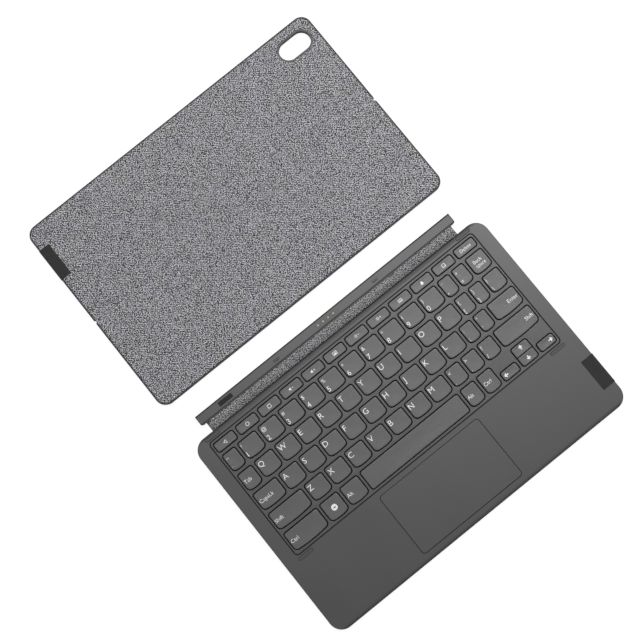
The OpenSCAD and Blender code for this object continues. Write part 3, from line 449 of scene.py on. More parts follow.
BELL = [(-1.5, -0.95), (1.5, -0.95), (1.0, -0.4), (0.8, 0.7), (0.0, 1.25), (-0.8, 0.7), (-1.0, -0.4)]
ICONS = [
    triangle(1.75, 0.32),
    ring_shape(1.45, 0.36),
    frame_shape(2.8, 2.8, 0.36),
    shapes(speaker(), minus(1.2)),
    shapes(speaker(), plus(1.2)),
    shapes(frame_shape(3.4, 2.6, 0.34), polygon([(-1.2, -0.85), (0.1, 0.5), (1.2, -0.85)])),
    shapes(sun(), minus(1.6)),
    shapes(sun(), plus(1.6)),
    shapes(frame_shape(3.4, 2.2, 0.3), polygon(rect(-1.0, -0.65, 1.0, -0.3)),
           *[polygon(rect(x - 0.17, 0.1, x + 0.17, 0.44)) for x in (-0.9, -0.3, 0.3, 0.9)]),
    shapes(polygon(BELL), polygon(rect(-0.45, -1.5, 0.45, -1.15))),
    shapes(frame_shape(2.7, 2.7, 0.34), polygon([(0.1, -0.1), (1.0, -0.1), (1.0, -1.0)])),
]


LETTER_H, DIGIT_H, SYMBOL_H, MARK_H, WORD_H = 4.0, 3.7, 2.7, 2.9, 2.7
LETTER_LEFT, PAIR_LEFT, WORD_SIDE = 1.75, 1.65, 1.7
LETTER_DOWN, SYMBOL_DOWN, DIGIT_UP = 6.6, 5.3, 2.6
MARK_LIFT = {"_": 2.2, "^": -0.3, "`": -1.0}


def pair(key, upper, lower):
    """A symbol over a digit or mark at the key's left."""
    left, top = key.x - key.w / 2 + PAIR_LEFT, key.y + key.d
    low_h = DIGIT_H if lower.isdigit() else MARK_H
    return shapes(
        moved(text_shape(upper, SYMBOL_H), left, top - SYMBOL_DOWN + MARK_LIFT.get(upper, 0)),
        moved(text_shape(lower, low_h), left, key.y + DIGIT_UP + MARK_LIFT.get(lower, 0)))


def letter(key, text):
    return moved(text_shape(text, LETTER_H), key.x - key.w / 2 + LETTER_LEFT, key.y + key.d - LETTER_DOWN)


def word(key, text, side="left", height=WORD_H):
    shape = text_shape(text, height)
    x = {"left": key.x - key.w / 2 + WORD_SIDE,
         "right": key.x + key.w / 2 - WORD_SIDE - shape_width(shape),
         "mid": key.x - shape_width(shape) / 2}[side]
    return moved(shape, x, key.mid - height / 2)


def centred(key, shape, dx=0.0, dy=0.0):
    return moved(shape, key.x + dx, key.mid + dy)


def row_keys(row, first, last):
    return [Key(row, i) for i in range(first, last + 1)]


def backspace(key, height=2.5):
    """The key's name in two lines."""
    left = key.x - key.w / 2 + 4.0
    return shapes(moved(text_shape("Back", height), left, key.mid + 0.45),
                  moved(text_shape("space", height), left, key.mid - 3.0))


NUMBERS = ["~`", "!1", "@2", "#3", "$4", "%5", "^6", "&7", "*8", "(9", ")0", "_-", "+="]
Q_LEGENDS = list("QWERTYUIOP") + ["{[", "}]", "|\\"]
A_LEGENDS = list("ASDFGHJKL") + [":;", "\"'"]
Z_LEGENDS = list("ZXCVBNM") + ["<,", ">.", "?/"]


def plain(keys, legends):
    """Keys with the legends of a row: a pair of characters, or one letter."""
    return [(k, pair(k, *t) if len(t) == 2 else letter(k, t)) for k, t in zip(keys, legends)]


def system_icon():
    """A disc with an oval hole."""
    return band([(2.3 * x, 2.3 * y) for x, y in circle(32)],
                [(1.15 * x, 0.42 * y - 0.1) for x, y in circle(32)])


def arrow_keys():
    left, down, right, up = (Key("bottom", place)
                             for place in (ARROW_LEFT, ARROW_MIDDLE, ARROW_RIGHT, ARROW_MIDDLE))
    up.y += BOTTOM_D / 2
    down.half, up.half = -1, 1
    return {
        "key_arrow_left": [(left, centred(left, arrow(0), -3.6))],
        "key_arrow_right": [(right, centred(right, arrow(180), 3.6))],
        "key_arrow_up": [(up, centred(up, arrow(-90), 0, 0.7))],
        "key_arrow_down": [(down, centred(down, arrow(90), 0, -0.1))],
    }


def single(row, place, make):
    key = Key(row, place)
    return [(key, make(key))]


KEYS = {
    "keys_function_row": [(k, centred(k, i)) for k, i in zip(row_keys("function", 0, 10), ICONS)],
    "key_delete": single("function", 11, lambda k: word(k, "Delete", "mid", 2.4)),
    "keys_number_row": plain(row_keys("number", 0, 12), NUMBERS),
    "key_backspace": single("number", 13, backspace),
    "key_tab": single("q", 0, lambda k: word(k, "Tab")),
    "keys_q_row": plain(row_keys("q", 1, 13), Q_LEGENDS),
    "key_caps_lock": single("a", 0, lambda k: word(k, "CapsLk")),
    "keys_a_row": plain(row_keys("a", 1, 11), A_LEGENDS),
    "key_enter": single("a", 12, lambda k: word(k, "Enter", "right")),
    "key_left_shift": single("z", 0, lambda k: word(k, "Shift")),
    "keys_z_row": plain(row_keys("z", 1, 10), Z_LEGENDS),
    "key_right_shift": single("z", 11, lambda k: word(k, "Shift", "right")),
    "key_left_ctrl": single("bottom", 0, lambda k: word(k, "Ctrl")),
    "key_system": single("bottom", 1, lambda k: centred(k, system_icon())),
    "key_left_alt": single("bottom", 2, lambda k: word(k, "Alt")),
    "key_space": single("bottom", SPACE, lambda k: None),
    "key_right_alt": single("bottom", 4, lambda k: word(k, "Alt")),
    "key_right_ctrl": single("bottom", 5, lambda k: word(k, "Ctrl")),
    **arrow_keys(),
}


# -------------------- materials
def lin(value):
    """Linear light of an 8-bit value."""
    v = value / 255
    return v / 12.92 if v <= 0.04045 else ((v + 0.055) / 1.055) ** 2.4


class Shader:
    """A material with its principled shader, and short ways to add nodes to it."""

    def __init__(self, name, rough, metallic=0.0, specular=0.5):
        self.material = bpy.data.materials.new(name)
        self.material.use_nodes = True
        self.tree = self.material.node_tree
        self.bsdf = self.tree.nodes["Principled BSDF"]
        self.set("Roughness", rough)
        self.set("Metallic", metallic)
        self.set("Specular IOR Level", specular)

    def set(self, socket, value):
        self.bsdf.inputs[socket].default_value = value

    def node(self, kind, inputs=None, **attributes):
        node = self.tree.nodes.new("ShaderNode" + kind)
        for key, value in attributes.items():
            setattr(node, key, value)
        for key, value in (inputs or {}).items():
            if isinstance(value, bpy.types.NodeSocket):
                self.tree.links.new(value, node.inputs[key])
            else:
                node.inputs[key].default_value = value
        return node

    def math(self, operation, a, b=0.0, clamp=False):
        return self.node("Math", {0: a, 1: b}, operation=operation, use_clamp=clamp).outputs[0]

    def coords(self, kind="Object", scale=(1000, 1000, 1000)):
        """Coordinates in mm: of the object, or of its UV map."""
        source = self.node("TexCoord").outputs[kind]
        return self.node("VectorMath", {0: source, 1: scale}, operation="MULTIPLY").outputs[0]

    def noise(self, vector, scale, detail=2.0, rough=0.5):
        return self.node("TexNoise", {"Vector": vector, "Scale": scale, "Detail": detail,
                                      "Roughness": rough}).outputs["Fac"]

    def ramp(self, value, stops):
        node = self.node("ValToRGB", {0: value})
        while len(node.color_ramp.elements) < len(stops):
            node.color_ramp.elements.new(0.5)
        for element, (place, colour) in zip(node.color_ramp.elements, stops):
            element.position = place
            element.color = (*colour, 1.0)
        return node.outputs[0]

    def step(self, value, start, end, low=0.0, high=1.0):
        """A value that goes from low to high as another goes from start to end."""
        return self.node("MapRange", {0: value, 1: start, 2: end, 3: low, 4: high},
                         interpolation_type="SMOOTHSTEP").outputs[0]

    def axes(self, vector):
        return self.node("SeparateXYZ", {0: vector}).outputs

    def length(self, x, y):
        vector = self.node("CombineXYZ", {0: x, 1: y}).outputs[0]
        return self.node("VectorMath", {0: vector}, operation="LENGTH").outputs["Value"]

    def product(self, colour, other):
        return self.node("Mix", {0: 1.0, 6: colour, 7: other}, data_type="RGBA",
                         blend_type="MULTIPLY").outputs[2]

    def darken(self, colour, factor):
        level = self.node("CombineColor", {0: factor, 1: factor, 2: factor}).outputs[0]
        return self.product(colour, level)

    def colour(self, output):
        self.tree.links.new(output, self.bsdf.inputs["Base Color"])

    def rough(self, output):
        self.tree.links.new(output, self.bsdf.inputs["Roughness"])

    def bump(self, height, distance):
        """A bump of that many mm."""
        node = self.node("Bump", {"Height": height, "Distance": distance * MM, "Strength": 1.0})
        self.tree.links.new(node.outputs[0], self.bsdf.inputs["Normal"])


def grey(v, tint=(0, 0, 0)):
    """Linear light of an 8-bit grey with a tint added."""
    return tuple(lin(max(0, min(255, v + t))) for t in tint)


def moulded(name, level, spread=4, rough=0.46, grain=1.6, depth=0.012, tint=(0, 0, 1),
            specular=0.75, shade=None):
    """Moulded plastic with a fine spark-eroded grain and slight colour and gloss variation."""
    s = Shader(name, rough, specular=specular)
    p = s.coords()
    broad = s.noise(p, 0.02, 3.0)
    fine = s.noise(p, grain, 2.0)
    mixed = s.math("ADD", s.math("MULTIPLY", broad, 0.6), s.math("MULTIPLY", fine, 0.4))
    colour = s.ramp(mixed, [(0.3, grey(level - spread, tint)), (0.7, grey(level + spread, tint))])
    gloss = s.math("SUBTRACT", 1.06 - rough, s.math("MULTIPLY", broad, 0.12))
    if shade:
        # painted shade: a given shade darkens the colour and dulls the gloss
        factor = shade(s, *s.axes(p))
        colour = s.darken(colour, factor)
        gloss = s.math("MULTIPLY", gloss, factor)
    s.colour(colour)
    s.rough(s.math("SUBTRACT", 1.0, gloss, clamp=True))
    s.bump(s.noise(p, grain * 1.6, 3.0), depth)
    return s.material


def deep(start, end, low):
    """Shade that gathers below a height, in the gaps round a piece."""
    return lambda s, x, y, z: s.step(z, start, end, low)


def past(s, value, middle, half):
    """How far a value is beyond a stretch about a middle, 0 inside it."""
    away = s.math("ABSOLUTE", s.math("SUBTRACT", value, middle))
    return s.math("MAXIMUM", s.math("SUBTRACT", away, half), 0.0)


def beyond(s, x, y, middle, size, r):
    """Distance outside a rounded rectangle, negative down to -r inside it."""
    out = [past(s, v, at, full / 2 - r) for v, at, full in zip((x, y), middle, size)]
    return s.math("SUBTRACT", s.length(*out), r)


def edged(start, end, middle, size, r, edge_w=0.45):
    """Shade in the gap round a plate, and along the plate's own edge."""
    return lambda s, x, y, z: s.math(
        "MULTIPLY", s.step(z, start, end, 0.15),
        s.step(beyond(s, x, y, middle, size, r), -edge_w, 0, 1.0, 0.45))


# heights and places between which each painted shade or painted light goes from one tone to the other. Round
# the bumpers and along the deck's front the shape has no groove or slope: the shade there is only painted
GAP_Z, CHAMFER_Z = (DECK_T - 0.5, DECK_T - 0.1), (DECK_T - 0.5, DECK_T - 0.01)
OUTSIDE_X, OUTSIDE_Y = (DECK_W / 2 - 5.7, DECK_W / 2 - 4.7), (DECK_BACK - 4.35, DECK_BACK - 3.85)
CHAMFER_X, CHAMFER_Y = (0.9 - DECK_W / 2, 0.6 - DECK_W / 2), (DECK_BACK - 0.9, DECK_BACK - 0.65)
BACK_SLOPE_SHADE, FRONT_SHADE = (DECK_BACK - 2.85, DECK_BACK + 0.15), (-DECK_BACK - 0.35, 4.05 - DECK_BACK)
BUMPER_SHADE = (BUMPER_W / 2 + 0.2, BUMPER_W / 2 + 0.7)
BAR_LINE_Y, BAR_LINE, BAR_ENDS = BAR_FRONT + 0.8, (0.15, 0.7), (BAR_W / 2 - 0.85, BAR_W / 2 - 0.25)
BAR_FAR_EDGE = (BAR_BACK - 1.25, BAR_BACK - 0.55)
STRIP_START = (DECK_BACK - 0.05, DECK_BACK + 1.35)
BAR_SHADOW, BAR_FOOT = (DECK_BACK + 2.45, DECK_BACK + 5.95), (DECK_BACK + 5.75, DECK_BACK + 7.35)
RIM_DIP = (-1.1, 0.0)


def deck_shade(s, x, y, z):
    """Painted shade: darker gaps inside the deck and round the key well, darker chamfers, rings round the
    bumpers, a darker back slope and a front edge darker towards its rim.
    """
    far_x, far_y = s.math("ABSOLUTE", x), s.math("ABSOLUTE", y)
    outside = s.math("MAXIMUM", s.step(far_x, *OUTSIDE_X), s.step(far_y, *OUTSIDE_Y))
    shade = s.step(s.math("MAXIMUM", s.step(z, *GAP_Z), outside), 0, 1, 0.2)
    well = beyond(s, x, y, (0, WELL_Y), (WELL_W, WELL_D), FRAME_R)
    shade = s.math("MULTIPLY", shade, s.step(well, 0.0, 0.5, 0.35))
    sides = s.math("MAXIMUM", s.step(x, *CHAMFER_X), s.step(far_y, *CHAMFER_Y))
    chamfer = s.math("MULTIPLY", sides, s.step(z, *CHAMFER_Z, 0.85, 0.0))
    shade = s.math("MULTIPLY", shade, s.math("SUBTRACT", 1.0, chamfer))
    shade = s.math("MULTIPLY", shade, s.step(y, *BACK_SLOPE_SHADE, 1.0, 0.3))
    shade = s.math("MULTIPLY", shade, s.step(y, *FRONT_SHADE, 0.25))
    run = past(s, far_x, BUMPER_X, (BUMPER_L - BUMPER_W) / 2)
    for place in BUMPER_YS:
        away = s.length(run, s.math("SUBTRACT", y, place))
        shade = s.math("MULTIPLY", shade, s.step(away, *BUMPER_SHADE, 0.45))
    return shade


def bar_shade(s, x, y, z):
    """A dark line along the bar's front, and painted shade on its ends and far edge."""
    front_line = s.step(s.math("ABSOLUTE", s.math("SUBTRACT", y, BAR_LINE_Y)), *BAR_LINE, 0.25)
    ends = s.step(s.math("ABSOLUTE", x), *BAR_ENDS, 1.0, 0.4)
    return s.math("MULTIPLY", s.math("MULTIPLY", front_line, ends), s.step(y, *BAR_FAR_EDGE, 1.0, 0.12))


def strip_shade(s, x, y, z):
    """Painted shade beside the deck, and painted light near the bar that evens out the bar's shadow."""
    painted_light = s.math("MULTIPLY", s.step(y, *BAR_SHADOW, 1.0, 1.45), s.step(y, *BAR_FOOT, 1.0, 2.2))
    return s.math("MULTIPLY", s.step(y, *STRIP_START, 0.55), painted_light)


def cover_shade(s, x, y, z):
    """Painted shade beside the cover's rim, where the fabric dips."""
    size = (COVER_W - 2 * RIM_W, COVER_D - 2 * RIM_W)
    edge = beyond(s, x, y, (COVER_X, COVER_Y), size, COVER_R - RIM_W)
    return s.step(edge, *RIM_DIP, 1.0, 0.6)


# third numbers that keep the weave's random tones apart
OWN_TONES, MATE_TONES, CROSSING_TONES = 3.0, 0.5, 7.5


def woven(name, dark, light, pitch, span=1, uv=True, tint=(0, 0, 0), depth=0.12, heather=1.0,
          grit=0.0, twill=0.0, broad=0.14, slubs=0.18, shade=None):
    """A heathered weave whose threads, of that pitch, pass over and under span threads at a time.

    The weights are those of the threads' own tones, of crossings that differ from the four around
    them, of the twill, of broad patches and of thicker threads.
    """
    s = Shader(name, 0.92, specular=0.15)
    s.set("Sheen Weight", 0.1)
    s.set("Sheen Roughness", 0.5)
    p = s.coords("UV", (100, 100, 1)) if uv else s.coords()
    bends = s.node("TexNoise", {"Vector": p, "Scale": 0.045, "Detail": 2.0}).outputs["Color"]
    sway = s.node("VectorMath", {0: bends, 1: (0.5, 0.5, 0.0)}, operation="MULTIPLY").outputs[0]
    x, y, _ = s.axes(s.node("VectorMath", {0: p, 1: sway}, operation="ADD").outputs[0])
    u, v = s.math("MULTIPLY", x, 1 / pitch[0]), s.math("MULTIPLY", y, 1 / pitch[1])
    column, row = s.math("FLOOR", u), s.math("FLOOR", v)

    def turns(a, b):
        return s.math("MULTIPLY", s.math("ADD", a, b), 0.5 / span)

    place = turns(column, row)
    over = s.math("LESS_THAN", s.math("FRACT", place), 0.499)

    def chosen(low, high):
        return s.node("Mix", {0: over, 2: low, 3: high}).outputs[0]

    turn = s.math("FLOOR", place)
    partner = s.math("SUBTRACT", s.math("ADD", s.math("MULTIPLY", turn, 2 * span), span - 1), row)

    def tone(*numbers):
        """A tone from -0.5 to 0.5 for each thread or crossing, picked by its numbers."""
        cell = s.node("CombineXYZ", dict(enumerate(numbers))).outputs[0]
        value = s.node("TexWhiteNoise", {"Vector": cell}, noise_dimensions="3D").outputs["Value"]
        return s.math("SUBTRACT", value, 0.5)

    own = tone(turn, chosen(row, column), s.math("ADD", over, OWN_TONES))
    mate = chosen(partner, column)
    next_mate = tone(turn, s.math("ADD", mate, 1.0), MATE_TONES)
    contrast = s.math("SUBTRACT", tone(turn, mate, MATE_TONES), s.math("MULTIPLY", next_mate, 0.5))
    sign = s.math("SUBTRACT", s.math("MULTIPLY", over, 1.4), 0.7)
    thread = s.math("ADD", s.math("MULTIPLY", own, 0.8), s.math("MULTIPLY", contrast, sign))

    def wave(phase, rate):
        return s.math("ABSOLUTE", s.math("SINE", s.math("MULTIPLY", phase, rate * math.pi)))

    across = s.math("POWER", wave(chosen(v, u), 1), 0.5)
    along = wave(chosen(turns(u, row), turns(column, v)), 2)
    height = s.math("MULTIPLY", across, s.math("ADD", 0.5, s.math("MULTIPLY", along, 0.5)))
    left, right, below, above = (tone(s.math("ADD", column, i), s.math("ADD", row, j), CROSSING_TONES)
                                 for i, j in ((-1.0, 0.0), (1.0, 0.0), (0.0, -1.0), (0.0, 1.0)))
    around = s.math("ADD", s.math("ADD", left, right), s.math("ADD", below, above))
    crossing = s.math("SUBTRACT", tone(column, row, CROSSING_TONES), s.math("MULTIPLY", around, 0.195))
    fibres = s.noise(p, 4.0 / pitch[0], 2.0, 0.6)
    patches = s.noise(p, 0.05, 3.0)
    thick = s.math("ADD", *[s.noise(s.node("Mapping", {"Vector": p, "Scale": scale}).outputs[0], 1.0, 2.0)
                            for scale in ((0.09, 1.3, 1), (1.3, 0.09, 1))])
    value = 0.5
    for part, centre, weight in ((thread, 0.0, heather), (crossing, 0.0, grit), (fibres, 0.5, 0.3),
                                 (height, 0.7, 0.4), (patches, 0.5, broad), (thick, 1.0, slubs),
                                 (over, 0.5, twill)):
        value = s.math("ADD", value, s.math("MULTIPLY", s.math("SUBTRACT", part, centre), weight))
    middle = (dark + light) / 2
    tones = s.ramp(value, [(0.05, grey(dark)), (0.5, grey(middle)), (0.95, grey(light))])
    pale = [t / 3 for t in tint]
    hue = s.ramp(s.noise(p, 0.09, 3.0, 0.6), [(0.42, grey(245, tint)), (0.58, grey(245, pale))])
    colour = s.product(tones, hue)
    if shade:
        # painted shade, and painted light where the shade's factor is over 1
        colour = s.darken(colour, shade(s, *s.axes(p)))
    s.colour(colour)
    s.bump(s.math("ADD", height, s.math("MULTIPLY", fibres, 0.3)), depth)
    return s.material


def metal(name, level, rough, tint=(0, 0, 0), stretch=(1, 1, 1)):
    s = Shader(name, rough, metallic=1.0)
    p = s.node("Mapping", {"Vector": s.coords(), "Scale": stretch}).outputs[0]
    n = s.noise(p, 3.0, 3.0)
    s.colour(s.ramp(n, [(0.3, grey(level - 12, tint)), (0.7, grey(level + 12, tint))]))
    s.rough(s.math("ADD", rough - 0.08, s.math("MULTIPLY", n, 0.16)))
    s.bump(n, 0.004)
    return s.material


THREADS = (0.635, 0.533)
MATERIALS = {
    "soft_touch_shell": moulded("soft_touch_shell", 67, 3),
    "deck_face": moulded("deck_face", 67, 2, shade=deck_shade),
    "key_grid": moulded("key_grid", 67, 2, shade=edged(FRAME_TOP - 0.22, FRAME_TOP - 0.02, (0, WELL_Y),
                                                       (GRID_W, GRID_D), GRID_R)),
    "bar_face": moulded("bar_face", 65, 2, shade=bar_shade),
    "rim_plastic": moulded("rim_plastic", 38, 3, rough=0.6, specular=0.5),
    "ring_face": moulded("ring_face", 62, 3, rough=0.55, shade=deep(COVER_T - 1.4, COVER_T - 0.2, 0.45)),
    "key_cap": moulded("key_cap", 82, 2, grain=2.5, depth=0.008,
                       shade=deep(CAP_TOP - 0.37, CAP_TOP - 0.14, 0.12)),
    "trackpad_surface": moulded("trackpad_surface", 68, 2, rough=0.48, grain=4, depth=0.003,
                                shade=edged(PAD_TOP - 0.35, PAD_TOP - 0.03, (PAD_X, PAD_Y),
                                            (PAD_W, PAD_D), PAD_R)),
    "black_plastic": moulded("black_plastic", 26, 4, rough=0.45),
    "bumper_rubber": moulded("bumper_rubber", 62, 3, rough=0.6, depth=0.02,
                             shade=deep(DECK_T + 0.1, DECK_T + 0.5, 0.2)),
    "silicone": moulded("silicone", 150, 5, rough=0.5, depth=0.005),
    "membrane_film": moulded("membrane_film", 14, 3, rough=0.5, depth=0.002, specular=0.2),
    "flex_film": moulded("flex_film", 150, 8, rough=0.3, tint=(30, -30, -90), depth=0.002),
    "circuit_board": moulded("circuit_board", 60, 6, rough=0.35, tint=(-40, 20, -20), depth=0.01),
    "steel": metal("steel", 180, 0.32, stretch=(0.2, 3, 3)),
    "blued_steel": metal("blued_steel", 34, 0.55, tint=(-2, 0, 5)),
    "magnet": metal("magnet", 190, 0.22),
    "gold_contact": metal("gold_contact", 125, 0.35, tint=(10, 4, -22)),
    "woven_fabric": woven("woven_fabric", 0, 224, THREADS, 2, tint=(-2, -3, 6), heather=0.22, grit=1.3,
                          twill=0.19, broad=0.08, slubs=0.24, shade=cover_shade),
    # the strip's weave is a darker, lower-contrast copy of the cover's; its darkness is partly painted shade
    # of the slot between deck and bar
    "strip_weave": woven("strip_weave", 28, 188, THREADS, 2, tint=(-1, -2, 4), heather=0.2, grit=1.1,
                         twill=0.15, broad=0.06, slubs=0.15, shade=strip_shade),
    "lining": woven("lining", 56, 72, (0.45, 0.45), depth=0.04, heather=0.6),
    "woven_tag": woven("woven_tag", 44, 68, (0.45, 0.45), uv=False, tint=(2, 1, -1), depth=0.05, heather=0.5),
    "legend_ink": moulded("legend_ink", 238, 3, rough=0.5, grain=3, depth=0.001),
    "label_film": moulded("label_film", 16, 3, rough=0.5, depth=0.002, specular=0.3),
    "selvedge": woven("selvedge", 90, 130, (0.4, 0.4), depth=0.05, heather=0.5),
}
LOOKS = {"deck_top_shell": "deck_face", "bar_top_shell": "bar_face", "pin_block": "bar_face",
         "camera_ring": "ring_face", "trackpad_spring": "blued_steel"}


def dress(obj, material, body=None, replaced=()):
    """A piece's material, and the body that it rides and the nodes that it stands for."""
    obj.data.materials.clear()
    obj.data.materials.append(MATERIALS[material])
    if body:
        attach(obj, body)
    if replaced:
        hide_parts(*replaced)


# -------------------- the frame's own nodes
BEVEL = {
    "deck_top_shell": 0.28, "deck_bottom_shell": 0.25, "bar_top_shell": 0.35, "bar_bottom_shell": 0.2,
    "cover_board": 0.3, "stand_board": 0.3, "camera_ring": 0.3, "rubber_bumpers": 0.25,
    "locating_lugs": 0.2, "pin_block": 0.05, "deck_magnets": 0.2, "bar_magnets": 0.2,
    "cover_magnets": 0.15, "hinge_links": 0.1, "hinge_pins": 0.1, "cover_hinge_leaves": 0.08,
    "stand_hinge_leaves": 0.08, "key_backplate": 0.05, "trackpad_spring": 0.05, "plate_screws": 0.05,
    "click_switch": 0.1, "main_board": 0.05, "rubber_domes": 0.15, "scissor_frames": 0.1,
}
for part in frame["record"]["subparts"]:
    node = NODES[part["node"]]
    node.data.materials.clear()
    node.data.materials.append(MATERIALS[LOOKS.get(part["node"], part["material_slot"])])
    weld = node.modifiers.new("weld", "WELD")
    weld.merge_threshold = 1e-6
    if part["node"] in BEVEL:
        bevel = node.modifiers.new("bevel", "BEVEL")
        bevel.width = BEVEL[part["node"]] * MM
        bevel.segments = 3
        bevel.limit_method = "ANGLE"
        bevel.angle_limit = math.radians(28)
        bevel.use_clamp_overlap = True
    node.modifiers.new("normals", "WEIGHTED_NORMAL").keep_sharp = True

# -------------------- keys
for name, keys in KEYS.items():
    parts = [keycap(k) for k, _ in keys]
    if name == "keys_a_row":
        parts += [home_bar(keys[place][0]) for place in HOME_PLACES]
    caps = mesh(name.replace("key", "cap", 1), *joined(parts))
    dress(caps, "key_cap", name, [name])
    drawn = [legend_solid(shape, k) for k, shape in keys if shape]
    if drawn:
        ink = mesh("legend_" + name, *joined(drawn))
        dress(ink, "legend_ink", name)

# -------------------- key frame and trackpad
shared = Key("bottom", ARROW_MIDDLE)
shared.d = BOTTOM_D
holes = [k.hole() for keys in KEYS.values() for k, _ in keys if k.half == 0] + [shared.hole()]
grid_outline = rounded(0, WELL_Y, GRID_W, GRID_D, GRID_R)
grid = mesh("key_grid", *plate(grid_outline, holes, FRAME_LOW, FRAME_TOP, 0.2))
dress(grid, "key_grid", "deck", ["key_frame"])
pad_outline = rounded(PAD_X, PAD_Y, PAD_W, PAD_D, PAD_R, parts=12)
pad = mesh("touch_plate", *plate(pad_outline, [], PAD_LOW, PAD_TOP, 0.22))
dress(pad, "trackpad_surface", "touchpad", ["trackpad"])


# -------------------- fabric
def grid_solid(rows, top, low):
    """A closed sheet from rows of points (x, y), with heights top(x, y) and low(x, y)."""
    n, m = len(rows), len(rows[0])
    verts = [(x, y, top(x, y)) for row in rows for x, y in row]
    verts += [(x, y, low(x, y)) for row in rows for x, y in row]
    faces = []
    size = n * m
    for i in range(n - 1):
        for j in range(m - 1):
            a, b, c, d = i * m + j, i * m + j + 1, (i + 1) * m + j + 1, (i + 1) * m + j
            faces += [(a, b, c, d), (a + size, d + size, c + size, b + size)]
    edge = ([(0, j) for j in range(m)] + [(i, m - 1) for i in range(1, n)]
            + [(n - 1, j) for j in range(m - 2, -1, -1)] + [(i, 0) for i in range(n - 2, 0, -1)])
    ids = [i * m + j for i, j in edge]
    for k, a in enumerate(ids):
        b = ids[(k + 1) % len(ids)]
        faces.append((a, a + size, b + size, b))
    return verts, faces


EDGE_STEPS = [0, 0.12, 0.3, 0.55, 0.9, 1.5]
CORNER_STEPS = EDGE_STEPS + [2.2, 3.1, 4.2, 5.5, 7.0]
FOLD_STEPS = [0, 0.3, 0.6, 0.9, 1.2, 1.5, 1.8, PIVOT_GAP, 2.6, 3.4]
CREASE_DEPTH, CREASE_W = 0.22, 0.8
ROLL_DEPTH, PRESS_DEPTH, ROLL_W = 0.42, 0.22, 0.9
CLOTH_SINK, SOFT_HALF, CUT_LOW, CUT_TOP = 0.02, 0.3, -2, 8


def spread(a, b, step):
    """Even places from a to b, about a step apart."""
    n = max(1, round((b - a) / step))
    return [a + (b - a) * i / n for i in range(n + 1)]


def half_length(side):
    """Length of one half of the cover: 1 for the upper half, -1 for the kickstand."""
    return (COVER_BACK - FOLD_Y) if side > 0 else (FOLD_Y - COVER_FRONT)


def half_rows(side, near, inset, step=3.0):
    """Rows of points over one half of the cover, from the fold to its far edge."""
    r, length = COVER_R - inset, half_length(side) - inset
    from_fold = [near + s for s in FOLD_STEPS]
    ys = from_fold + spread(from_fold[-1], length - CORNER_STEPS[-1], step)[1:]
    ys += [length - s for s in CORNER_STEPS[::-1][1:]]
    rows = []
    parts = round((COVER_W - 2 * EDGE_STEPS[-1]) / step)
    for y in ys:
        to_far = length - y
        half = COVER_W / 2 - inset
        if to_far < r:
            half -= r - math.sqrt(max(0.0, r * r - (r - to_far) ** 2))
        xs = [-half + s for s in EDGE_STEPS]
        xs += [(half - EDGE_STEPS[-1]) * (2 * i / parts - 1) for i in range(1, parts)]
        xs += [half - s for s in EDGE_STEPS[::-1]]
        rows.append([(COVER_X + x, FOLD_Y + side * y) for x in xs])
    return rows


def border(x, y, side, inset):
    """Distance of a point from the rounded edge of the cover's half, the fold's edge left out."""
    r = COVER_R - inset
    dx = COVER_W / 2 - inset - abs(x - COVER_X)
    dy = abs(FOLD_Y + side * (half_length(side) - inset) - y)
    if dx < r and dy < r:
        return r - math.hypot(r - dx, r - dy)
    return min(dx, dy)


def window_cut(obj):
    """Cuts the camera's window out of a sheet."""
    flat, r = WINDOW_W - WINDOW_H, WINDOW_H / 2 + RING_W
    outline = (arc(WINDOW_X + flat / 2, WINDOW_Y, r, -90, 90, 24)
               + arc(WINDOW_X - flat / 2, WINDOW_Y, r, 90, 270, 24))
    cutter = mesh("cutter", *loft([[(x, y, z) for x, y in outline] for z in (CUT_LOW, CUT_TOP)]))
    cut = obj.modifiers.new("window", "BOOLEAN")
    cut.object, cut.operation, cut.solver = cutter, "DIFFERENCE", "EXACT"
    bpy.context.view_layer.update()
    obj.modifiers.remove(obj.modifiers["normals"])
    new = bpy.data.meshes.new_from_object(obj.evaluated_get(bpy.context.evaluated_depsgraph_get()))
    obj.modifiers.clear()
    obj.data = new
    bpy.data.objects.remove(cutter)
    smooth(obj)


def flat_uv(obj):
    """A UV map of the cloth laid flat, ten units to the metre."""
    layer = obj.data.uv_layers.new(name="cloth")
    for loop in obj.data.loops:
        co = obj.data.vertices[loop.vertex_index].co
        layer.data[loop.index].uv = (co.x * 10, co.y * 10)


def cloth(name, side, rows, top, low):
    """One half's sheet, with the camera's window cut out of the upper one."""
    obj = mesh(name, *grid_solid(rows, top, low))
    if side > 0:
        window_cut(obj)
    flat_uv(obj)
    return obj


def crease(y):
    """Depth of the fold's crease in the fabric."""
    return CREASE_DEPTH * math.exp(-(((y - FOLD_Y) / CREASE_W) ** 2))


def turned_in(depth, distance, width=ROLL_W):
    """How far a cloth's edge is turned in, at a distance from that edge."""
    return depth * (1 - min(1.0, distance / width)) ** 2


def outer_fabric(name, side, replaced):
    """The woven outside of one half, from the fold's middle to its rim."""

    def top(x, y):
        return COVER_T - turned_in(ROLL_DEPTH, border(x, y, side, CLOTH_INSET)) - crease(y)

    obj = cloth(name, side, half_rows(side, 0, CLOTH_INSET), top, lambda x, y: CORE_TOP + CLOTH_SINK)
    dress(obj, "woven_fabric", None, replaced)
    pin, middle = (0, (FOLD_Y + side * PIVOT_GAP) * MM, 0), (0, (FOLD_Y + side * SOFT_HALF) * MM, 0)
    start, end = (pin, middle) if side > 0 else (middle, pin)
    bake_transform(obj)
    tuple(start)
    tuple(end)
    width, length = COVER_W - 2 * CLOTH_INSET, half_length(side) - CLOTH_INSET
    area = width * length - 2 * (1 - math.pi / 4) * (COVER_R - CLOTH_INSET) ** 2
    if side > 0:
        r = WINDOW_H / 2 + RING_W
        area -= math.pi * r * r + (WINDOW_W - WINDOW_H) * 2 * r


outer_fabric("upper_fabric", 1, ["cover_fabric", "fold_fabric"])
outer_fabric("kickstand_fabric", -1, ["stand_fabric"])


